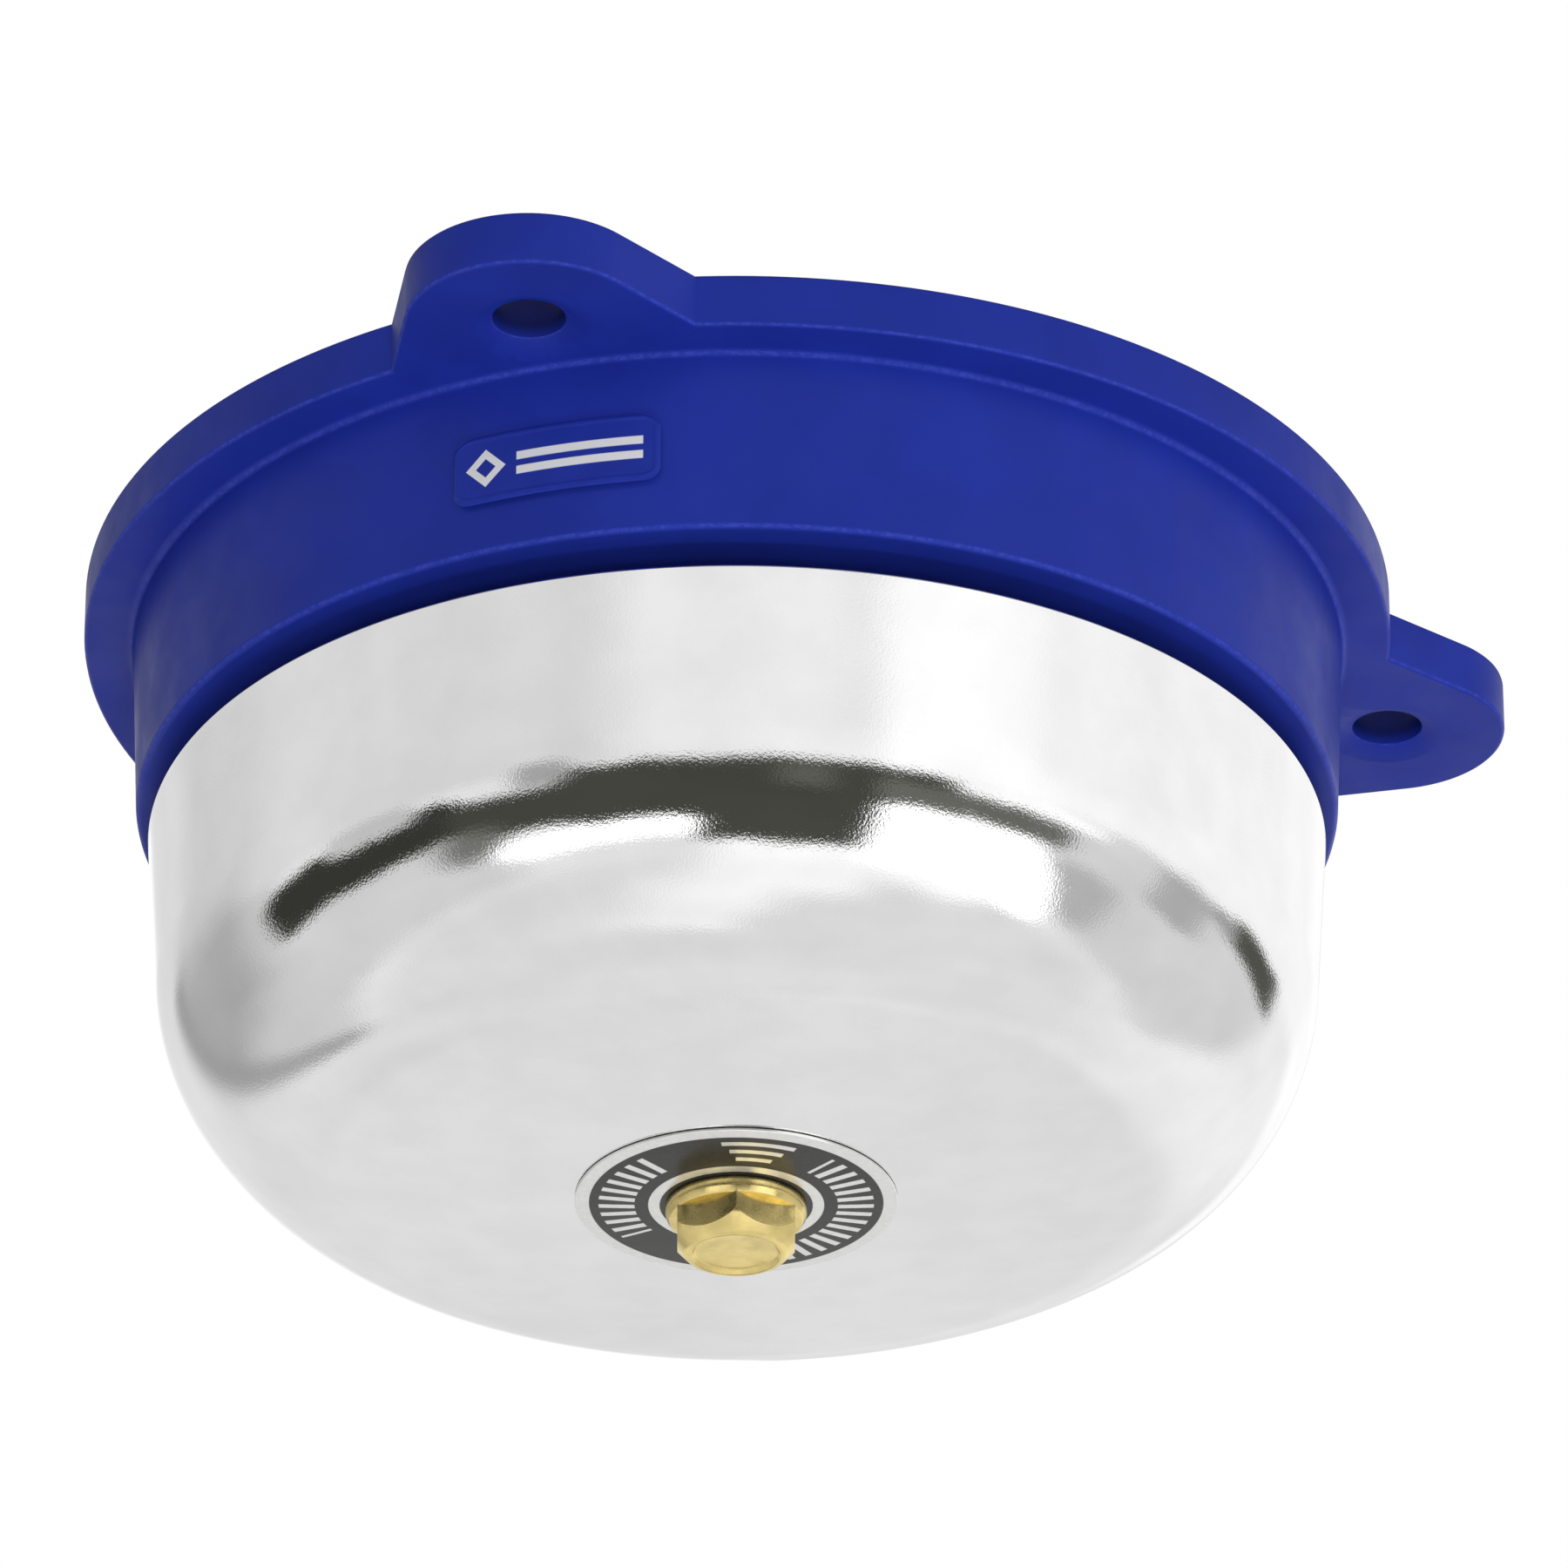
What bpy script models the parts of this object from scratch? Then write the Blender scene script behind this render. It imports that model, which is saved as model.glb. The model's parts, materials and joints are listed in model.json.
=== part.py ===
"""Electric alarm bell with an under-dome striker: a moulded base with three lugs, a hanging steel gong,
and a solenoid that drives a striker against the inside of the gong's wall.

Metres, +Z up. The mounting face lies at z = 0 and the gong hangs below it, so a piece's place along the
bell's axis is given as its depth below that face.
"""

import math

import bmesh
import bpy
from mathutils import Matrix, Vector

# Clearances
GAP = 0.0003  # between pieces that rest on each other or screw into each other
SLIDING = 0.0004  # around the plunger
STRIKE_CLEARANCE = 0.0004  # between the striker and the gong at the end of its travel

# Moulded base
DRUM_FRONT_RADIUS = 0.0511
DRUM_DRAFT = 0.0007  # how much wider the drum is at its root
FLANGE_LIP = 0.0042  # how far the flange reaches beyond the drum's root
FLANGE_THICKNESS = 0.0048
DRUM_DEPTH = 0.0209
DRUM_WALL = 0.0050
DECK_THICKNESS = 0.0025
ROOT_FILLET = 0.0007
DECK_EDGE_FILLET = 0.0006

# Lugs and their screw holes
LUG_COUNT = 3
FIRST_LUG_ANGLE = math.radians(-106.75)
LUG_REACH = 0.0020  # from the flange's edge out to the middle of the screw hole
LUG_END_RADIUS = 0.0102
LUG_FOOT_HALF_ANGLE = math.radians(13.5)
LUG_HOLE_RADIUS = 0.0030
COUNTERSINK_RADIUS = 0.00485
COUNTERSINK_DEPTH = 0.0008

# Back cover
COVER_THICKNESS = 0.0020
COVER_LEDGE = 0.0025
COVER_BOSS_RADIUS = 0.0040
COVER_BOSS_INSET = 0.0028  # from the cavity's wall to the boss's axis
BOSS_RELIEF = 0.0002  # the bosses end this much below the cover's ledge

# Screws: head radius, head height, shank radius, shank length
SMALL_SCREW_HEAD_RADIUS = 0.0028
SMALL_SCREW_HEAD_HEIGHT = 0.0018
SMALL_SCREW_SHANK_RADIUS = 0.0014
COVER_SCREW_LENGTH = 0.0090
PLATE_SCREW_LENGTH = 0.0065
YOKE_SCREW_LENGTH = 0.0042
BLOCK_SCREW_LENGTH = 0.0118

# Mechanism plate
PLATE_RADIUS = 0.0380
PLATE_THICKNESS = 0.0015
PLATE_SCREW_CIRCLE = 0.0320
PLATE_SCREW_ANGLES = (math.radians(-150), math.radians(-30), math.radians(90))
PLATE_BOSS_RADIUS = 0.0035
PLATE_BOSS_HEIGHT = 0.0054
LEAD_HOLE = (-0.0141, -0.0060)
LEAD_HOLE_RADIUS = 0.0032

# Gong, its label and its bolt
GONG_RIM_RADIUS = 0.0500
RIM_CLEARANCE = 0.0028  # between the drum's front and the gong's rim
GONG_HEIGHT = 0.03295
GONG_WALL_LEAN = math.radians(3.96)
GONG_SHOULDER_RADIUS = 0.0183
GONG_CROWN_RADIUS = 0.2600
GONG_THICKNESS = 0.0012
LABEL_RADIUS = 0.0135
LABEL_THICKNESS = 0.00025
LABEL_GAP = 0.0002
BOLT_THREAD_RADIUS = 0.0030
BOLT_THREAD_LENGTH = 0.0160
BOLT_FLANGE_RADIUS = 0.0059
BOLT_FLANGE_THICKNESS = 0.0010
BOLT_HEX_ACROSS_FLATS = 0.0098
BOLT_HEX_HEIGHT = 0.0032

# Gong post
POST_RADIUS = 0.0050
POST_STEM_RADIUS = 0.0040
POST_STEM_LENGTH = 0.0100
POST_BORE_DEPTH = 0.0150
SEAT_WASHER_RADIUS = 0.0065
SEAT_WASHER_THICKNESS = 0.0010
POST_WASHER_RADIUS = 0.0075
POST_WASHER_THICKNESS = 0.0012
POST_NUT_ACROSS_FLATS = 0.0130
POST_NUT_THICKNESS = 0.0040

# Solenoid, lying across the deck beside the post
COIL_AXIS_Y = 0.0200
YOKE_LENGTH = 0.0340
YOKE_WIDTH = 0.0160
YOKE_SHEET = 0.0020
YOKE_HEIGHT = 0.0225
YOKE_EAR_X = 0.0090
YOKE_EAR_WIDTH = 0.0090
YOKE_EAR_LENGTH = 0.0070
BOBBIN_WALL = 0.0009
BOBBIN_FLANGE = 0.0012
BOBBIN_FLANGE_RADIUS = 0.0097
WINDING_THICKNESS = 0.0027
TAPE_THICKNESS = 0.0004

# Striker
STRIKER_TRAVEL = 0.0035
PLUNGER_RADIUS = 0.0042
PLUNGER_SETBACK = 0.0060  # from the yoke's front leg in to the plunger's front end
ROD_RADIUS = 0.0020
ROD_SOCKET_DEPTH = 0.0060
HEAD_RADIUS = 0.0040
HEAD_LENGTH = 0.0080
HEAD_SOCKET_DEPTH = 0.0040
CLIP_RADIUS = 0.0045
CLIP_THICKNESS = 0.0010
BUFFER_RADIUS = 0.0066
BUFFER_THICKNESS = 0.0015
RETAINER_RADIUS = 0.0068
RETAINER_THICKNESS = 0.0012
RETAINER_INSET = 0.0012  # from the plunger's rear end
SPRING_WIRE_RADIUS = 0.00035
SPRING_COIL_RADIUS = 0.0055
SPRING_LENGTH = 0.0080
SPRING_TURNS = 4

# Terminal block in the rear cavity
BLOCK_SIZE = (0.0220, 0.0140, 0.0100)
BLOCK_CENTRE_Y = -0.0260
TERMINAL_SPACING = 0.0120
BARREL_SIZE = (0.0050, 0.0100, 0.0052)
BARREL_CLEARANCE = 0.0003
BARREL_BORE_RADIUS = 0.0015
TERMINAL_SCREW_SPACING = 0.0054
TERMINAL_SCREW_RADIUS = 0.0010
TERMINAL_HEAD_RADIUS = 0.0016
TERMINAL_HEAD_HEIGHT = 0.0012
TERMINAL_WELL_RADIUS = 0.0019

# Coil leads
LEAD_RADIUS = 0.0007
LEAD_STARTS = ((-0.0110, -0.0020), (-0.0085, 0.0005))  # x, and depth from the coil's axis
LEAD_SPREAD = 0.0011  # half the distance between the two leads in their hole

# Cable inlet in the drum's side, and the badge plate opposite
INLET_ANGLE = math.radians(90)
INLET_HOLE_RADIUS = 0.0045
GROMMET_BORE_RADIUS = 0.0031
GROMMET_FLANGE_RADIUS = 0.0060
GROMMET_FLANGE_THICKNESS = 0.0012
BADGE_CENTRE_ANGLE = math.radians(-106.45)
BADGE_LENGTH = 0.0177
BADGE_DEPTH = 0.01355
BADGE_HEIGHT = 0.0063
BADGE_THICKNESS = 0.00025
BADGE_GAP = 0.0002

# Facets
ROUND_STEPS = 60
SMALL_STEPS = 16
MEDIUM_STEPS = 24
ARC_STEPS = 6
SPRING_STEPS_PER_TURN = 10
LEAD_STEPS = 3

# Places that follow from the sizes above
DRUM_ROOT_RADIUS = DRUM_FRONT_RADIUS + DRUM_DRAFT
FLANGE_RADIUS = DRUM_ROOT_RADIUS + FLANGE_LIP
LUG_PITCH_RADIUS = FLANGE_RADIUS + LUG_REACH
CAVITY_RADIUS = DRUM_FRONT_RADIUS - DRUM_WALL
COVER_SEAT_DEPTH = COVER_THICKNESS + GAP
COVER_RECESS_RADIUS = CAVITY_RADIUS + COVER_LEDGE
DECK_BACK = DRUM_DEPTH - DECK_THICKNESS
INLET_DEPTH = (FLANGE_THICKNESS + DECK_BACK) / 2
PLATE_BACK = DRUM_DEPTH + GAP
PLATE_FRONT = PLATE_BACK + PLATE_THICKNESS
YOKE_BACK = PLATE_FRONT + GAP
YOKE_BASE_FRONT = YOKE_BACK + YOKE_SHEET
COIL_AXIS_DEPTH = YOKE_BASE_FRONT + GAP + BOBBIN_FLANGE_RADIUS
GONG_RIM_DEPTH = DRUM_DEPTH + RIM_CLEARANCE
GONG_APEX_DEPTH = GONG_RIM_DEPTH + GONG_HEIGHT
GONG_INNER_APEX = GONG_APEX_DEPTH - GONG_THICKNESS
SEAT_WASHER_FRONT = GONG_INNER_APEX - GAP
SEAT_WASHER_BACK = SEAT_WASHER_FRONT - SEAT_WASHER_THICKNESS
POST_BACK = PLATE_FRONT + GAP
POST_FRONT = SEAT_WASHER_BACK - GAP
LABEL_BACK = GONG_APEX_DEPTH + LABEL_GAP
LABEL_FRONT = LABEL_BACK + LABEL_THICKNESS
BOLT_SEAT = LABEL_FRONT + LABEL_GAP
BOLT_HOLE_RADIUS = BOLT_THREAD_RADIUS + GAP
POST_HOLE_RADIUS = POST_STEM_RADIUS + GAP
SCREW_HOLE_RADIUS = SMALL_SCREW_SHANK_RADIUS + GAP
BOBBIN_BORE_RADIUS = PLUNGER_RADIUS + SLIDING
BOBBIN_BARREL_RADIUS = BOBBIN_BORE_RADIUS + BOBBIN_WALL
BOBBIN_END_X = YOKE_LENGTH / 2 - YOKE_SHEET - GAP
WINDING_END_X = BOBBIN_END_X - BOBBIN_FLANGE - GAP
WINDING_INNER_RADIUS = BOBBIN_BARREL_RADIUS + GAP
WINDING_OUTER_RADIUS = WINDING_INNER_RADIUS + WINDING_THICKNESS
TAPE_INNER_RADIUS = WINDING_OUTER_RADIUS + GAP
TAPE_OUTER_RADIUS = TAPE_INNER_RADIUS + TAPE_THICKNESS
YOKE_HOLE_RADIUS = BOBBIN_BORE_RADIUS
BUFFER_BACK_X = YOKE_LENGTH / 2 + GAP
CLIP_BACK_X = BUFFER_BACK_X + BUFFER_THICKNESS + GAP
ROD_HOLE_RADIUS = ROD_RADIUS + GAP
SPRING_FRONT_X = -YOKE_LENGTH / 2 - GAP
SPRING_REAR_X = SPRING_FRONT_X - SPRING_LENGTH
RETAINER_REAR_X = SPRING_REAR_X - GAP - RETAINER_THICKNESS
PLUNGER_REAR_X = RETAINER_REAR_X - RETAINER_INSET
PLUNGER_FRONT_X = YOKE_LENGTH / 2 - PLUNGER_SETBACK
BLOCK_BACK = DECK_BACK - GAP
BLOCK_REAR_FACE = BLOCK_BACK - BLOCK_SIZE[2]
BARREL_DEPTH = BLOCK_BACK - BLOCK_SIZE[2] / 2
LUG_ANGLES = [FIRST_LUG_ANGLE + index * math.tau / LUG_COUNT for index in range(LUG_COUNT)]
COVER_BOSS_ANGLES = [angle + math.pi / LUG_COUNT for angle in LUG_ANGLES]
COVER_BOSS_CIRCLE = CAVITY_RADIUS - COVER_BOSS_INSET


def clear_scene():
    """Remove what the startup scene holds."""
    for old in list(bpy.data.objects):
        bpy.data.objects.remove(old, do_unlink=True)


clear_scene()
parts = bpy.data.collections.new("fire_alarm_bell")
cutters = bpy.data.collections.new("cutters")
bpy.context.scene.collection.children.link(parts)
bpy.context.scene.collection.children.link(cutters)
cutters.hide_render = True


def finish(name, color, roughness, metallic=0.0):
    """A Principled material of one colour."""
    material = bpy.data.materials.new(name)
    material.use_nodes = True
    shader = material.node_tree.nodes["Principled BSDF"]
    shader.inputs["Base Color"].default_value = (*color, 1.0)
    shader.inputs["Roughness"].default_value = roughness
    shader.inputs["Metallic"].default_value = metallic
    material.diffuse_color = (*color, 1.0)
    return material


BLUE_PLASTIC = finish("blue_moulded_plastic", (0.018, 0.030, 0.270), 0.35)
BADGE_BLUE = finish("badge_blue", (0.022, 0.040, 0.320), 0.30)
PLATED_GONG = finish("bright_plated_gong", (0.86, 0.86, 0.85), 0.08, 1.0)
BRASS = finish("yellow_brass", (0.78, 0.56, 0.22), 0.25, 1.0)
PRINTED_LABEL = finish("black_and_silver_label", (0.03, 0.03, 0.03), 0.40)
ZINC_STEEL = finish("zinc_plated_steel", (0.62, 0.64, 0.66), 0.35, 1.0)
BARE_IRON = finish("bare_iron", (0.42, 0.42, 0.43), 0.40, 1.0)
SPRING_STEEL = finish("spring_steel", (0.50, 0.50, 0.52), 0.25, 1.0)
BLACK_BOARD = finish("black_fibre_board", (0.03, 0.03, 0.03), 0.70)
RED_FIBRE = finish("red_fibre", (0.30, 0.07, 0.04), 0.75)
BLACK_RUBBER = finish("black_rubber", (0.02, 0.02, 0.02), 0.80)
WHITE_NYLON = finish("white_nylon", (0.75, 0.74, 0.70), 0.45)
COPPER_WIRE = finish("enamelled_copper", (0.55, 0.20, 0.08), 0.30, 1.0)
YELLOW_TAPE = finish("yellow_coil_tape", (0.75, 0.58, 0.12), 0.45)
RED_LEAD = finish("red_lead_sleeve", (0.45, 0.03, 0.02), 0.45)
BLACK_LEAD = finish("black_lead_sleeve", (0.02, 0.02, 0.02), 0.45)


def on_circle(radius, angle):
    """The point at this radius and angle in the XY plane."""
    return radius * math.cos(angle), radius * math.sin(angle)


def arc(centre, radius, start, end, steps=ARC_STEPS):
    """Points along an arc, both ends included."""
    angles = [start + (end - start) * step / steps for step in range(steps + 1)]
    return [(centre[0] + radius * math.cos(a), centre[1] + radius * math.sin(a)) for a in angles]


def circle(centre, radius, steps):
    """A closed ring of points."""
    return arc(centre, radius, 0.0, math.tau, steps)[:-1]


def hexagon(across_flats):
    """The corners of a hexagon, one of them at -Y."""
    return arc((0.0, 0.0), across_flats / math.sqrt(3), -math.pi / 2, 1.5 * math.pi, 6)[:-1]


def place(obj, material, location=(0.0, 0.0, 0.0), rotation=(0.0, 0.0, 0.0)):
    """Put a piece in the bell's collection with its finish."""
    parts.objects.link(obj)
    obj.data.materials.append(material)
    obj.location = location
    obj.rotation_euler = rotation
    return obj


def turned(name, profile, steps):
    """A turned body about Z from (radius, depth) points that run down its outer side."""
    mesh = bpy.data.meshes.new(name)
    shape = bmesh.new()
    points = [shape.verts.new((radius, 0.0, -depth)) for radius, depth in profile]
    for first, second in zip(points, points[1:]):
        shape.edges.new((first, second))
    if profile[0][0] > 0.0:
        shape.edges.new((points[-1], points[0]))
    shape.to_mesh(mesh)
    shape.free()
    obj = bpy.data.objects.new(name, mesh)
    screw = obj.modifiers.new("turn", "SCREW")
    screw.axis = "Z"
    screw.steps = steps
    screw.render_steps = steps
    screw.use_merge_vertices = True
    screw.merge_threshold = 0.00001
    screw.use_smooth_shade = True
    return obj


def extruded(name, outlines, back, front):
    """A flat body between two depths, from one outline and any holes in it."""
    curve = bpy.data.curves.new(name + "_outline", "CURVE")
    curve.dimensions = "2D"
    curve.fill_mode = "BOTH"
    curve.extrude = (front - back) / 2
    for outline in outlines:
        spline = curve.splines.new("POLY")
        spline.points.add(len(outline) - 1)
        for point, (x, y) in zip(spline.points, outline):
            point.co = (x, y, 0.0, 1.0)
        spline.use_cyclic_u = True
    guide = bpy.data.objects.new(name + "_outline", curve)
    bpy.context.scene.collection.objects.link(guide)
    guide.location.z = -(back + front) / 2
    bpy.context.view_layer.update()
    graph = bpy.context.evaluated_depsgraph_get()
    mesh = bpy.data.meshes.new_from_object(guide.evaluated_get(graph))
    shape = bmesh.new()
    shape.from_mesh(mesh)
    bmesh.ops.remove_doubles(shape, verts=shape.verts, dist=0.00001)
    shape.transform(guide.matrix_world)
    bmesh.ops.recalc_face_normals(shape, faces=shape.faces)
    shape.to_mesh(mesh)
    shape.free()
    bpy.data.objects.remove(guide, do_unlink=True)
    mesh.name = name
    return bpy.data.objects.new(name, mesh)


def block(name, low, high):
    """A box between two corners given as x, y and depth."""
    mesh = bpy.data.meshes.new(name)
    shape = bmesh.new()
    size = [high[axis] - low[axis] for axis in range(3)]
    middle = ((low[0] + high[0]) / 2, (low[1] + high[1]) / 2, -(low[2] + high[2]) / 2)
    matrix = Matrix.Translation(middle) @ Matrix.Diagonal((*size, 1.0))
    bmesh.ops.create_cube(shape, size=1.0, matrix=matrix)
    shape.to_mesh(mesh)
    shape.free()
    return bpy.data.objects.new(name, mesh)


def rod(name, start, end, radius, steps, end_radius=None):
    """A cylinder or cone between two points given as x, y and depth."""
    first = Vector((start[0], start[1], -start[2]))
    along = Vector((end[0], end[1], -end[2])) - first
    matrix = Matrix.Translation(first + along / 2) @ along.to_track_quat("Z", "Y").to_matrix().to_4x4()
    mesh = bpy.data.meshes.new(name)
    shape = bmesh.new()
    bmesh.ops.create_cone(
        shape,
        cap_ends=True,
        segments=steps,
        radius1=radius,
        radius2=radius if end_radius is None else end_radius,
        depth=along.length,
        matrix=matrix,
    )
    shape.to_mesh(mesh)
    shape.free()
    return bpy.data.objects.new(name, mesh)


def wire(name, points, radius):
    """A round wire through points given in world space."""
    curve = bpy.data.curves.new(name, "CURVE")
    curve.dimensions = "3D"
    curve.bevel_depth = radius
    curve.bevel_resolution = 2
    curve.use_fill_caps = True
    spline = curve.splines.new("POLY")
    spline.points.add(len(points) - 1)
    for point, place_of in zip(spline.points, points):
        point.co = (*place_of, 1.0)
    return bpy.data.objects.new(name, curve)


def turned_hole(name, profile, x, y):
    """A turned tool body for a stepped or countersunk hole along the bell's axis."""
    tool = turned(name, profile, SMALL_STEPS)
    tool.location = (x, y, 0.0)
    return tool


def combine(obj, tools, operation):
    """Join tool bodies to a piece, or cut them out of it."""
    tool_group = bpy.data.collections.new(f"{obj.name}_{operation.lower()}")
    cutters.children.link(tool_group)
    for tool in tools:
        tool_group.objects.link(tool)
        tool.hide_render = True
        tool.display_type = "WIRE"
    boolean = obj.modifiers.new(operation.lower(), "BOOLEAN")
    boolean.operation = operation
    boolean.operand_type = "COLLECTION"
    boolean.collection = tool_group
    boolean.solver = "EXACT"


def smooth_route(points, steps_each):
    """Points along a Catmull-Rom curve through a wire's own points."""
    ends = [points[0] * 2 - points[1], *points, points[-1] * 2 - points[-2]]
    route = []
    for index in range(1, len(ends) - 2):
        before, here, there, after = ends[index - 1 : index + 3]
        for step in range(steps_each):
            t = step / steps_each
            linear = (there - before) * t
            square = (before * 2 - here * 5 + there * 4 - after) * t**2
            cube = (here * 3 - before - there * 3 + after) * t**3
            route.append((here * 2 + linear + square + cube) / 2)
    return [*route, points[-1]]


def lug_outline(angle):
    """A lug with a round end whose sides run as tangents down to the flange, then in to its root."""
    foot = Vector(on_circle(FLANGE_RADIUS, LUG_FOOT_HALF_ANGLE))
    centre = Vector((LUG_PITCH_RADIUS, 0.0))
    to_foot = foot - centre
    spread = math.acos(LUG_END_RADIUS / to_foot.length)
    tangent = math.atan2(to_foot.y, to_foot.x) - spread
    root = Vector(on_circle(DRUM_ROOT_RADIUS, LUG_FOOT_HALF_ANGLE))
    half = [(root.x, root.y), (foot.x, foot.y)]
    end = arc(centre, LUG_END_RADIUS, tangent, -tangent, 2 * ARC_STEPS)
    other_half = [(x, -y) for x, y in reversed(half)]
    turn = Matrix.Rotation(angle, 2)
    return [tuple(turn @ Vector(point)) for point in half + end + other_half]


def pan_screw(name, x, y, seat, towards, length, material=ZINC_STEEL):
    """A pan-head screw that seats at a depth and runs from there along `towards` (1 is deeper)."""
    top = -SMALL_SCREW_HEAD_HEIGHT
    profile = [
        (0.0, top),
        (SMALL_SCREW_HEAD_RADIUS * 0.7, top),
        (SMALL_SCREW_HEAD_RADIUS, top / 2),
        (SMALL_SCREW_HEAD_RADIUS, 0.0),
        (SMALL_SCREW_SHANK_RADIUS, 0.0),
        (SMALL_SCREW_SHANK_RADIUS, length),
        (0.0, length),
    ]
    turn = (0.0, 0.0, 0.0) if towards > 0 else (math.pi, 0.0, 0.0)
    return place(turned(name, profile, SMALL_STEPS), material, (x, y, -seat), turn)


def gong_arcs():
    """The gong's outer arcs: the shoulder's centre, the angle of the crown's edge, the crown's centre."""
    crown_centre = Vector((0.0, GONG_APEX_DEPTH - GONG_CROWN_RADIUS))
    rim = Vector((GONG_RIM_RADIUS, GONG_RIM_DEPTH))
    along = Vector((-math.sin(GONG_WALL_LEAN), math.cos(GONG_WALL_LEAN)))
    inward = Vector((-math.cos(GONG_WALL_LEAN), -math.sin(GONG_WALL_LEAN)))
    start = rim + inward * GONG_SHOULDER_RADIUS - crown_centre
    reach = GONG_CROWN_RADIUS - GONG_SHOULDER_RADIUS
    half_turn = start.dot(along)
    wall_length = math.sqrt(half_turn**2 - start.length_squared + reach**2) - half_turn
    shoulder_centre = rim + inward * GONG_SHOULDER_RADIUS + along * wall_length
    to_crown = shoulder_centre - crown_centre
    crown_edge = math.atan2(to_crown.y, to_crown.x)
    return shoulder_centre, crown_edge, crown_centre


def gong_skin(offset):
    """Points of the gong's surface at an inward offset, from the rim to the bolt hole."""
    shoulder_centre, crown_edge, crown_centre = gong_arcs()
    rim_inward = Vector((-math.cos(GONG_WALL_LEAN), 0.0)) * offset
    rim = Vector((GONG_RIM_RADIUS, GONG_RIM_DEPTH)) + rim_inward
    shoulder = arc(shoulder_centre, GONG_SHOULDER_RADIUS - offset, GONG_WALL_LEAN, crown_edge)
    crown_radius = GONG_CROWN_RADIUS - offset
    hole_edge = math.acos(BOLT_HOLE_RADIUS / crown_radius)
    crown = arc(crown_centre, crown_radius, crown_edge, hole_edge, 3)
    return [tuple(rim), *shoulder, *crown[1:]]


def gong_inner_radius(depth):
    """The inside radius of the gong's leaning wall at a depth."""
    outside = GONG_RIM_RADIUS - (depth - GONG_RIM_DEPTH) * math.tan(GONG_WALL_LEAN)
    return outside - GONG_THICKNESS / math.cos(GONG_WALL_LEAN)


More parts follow.
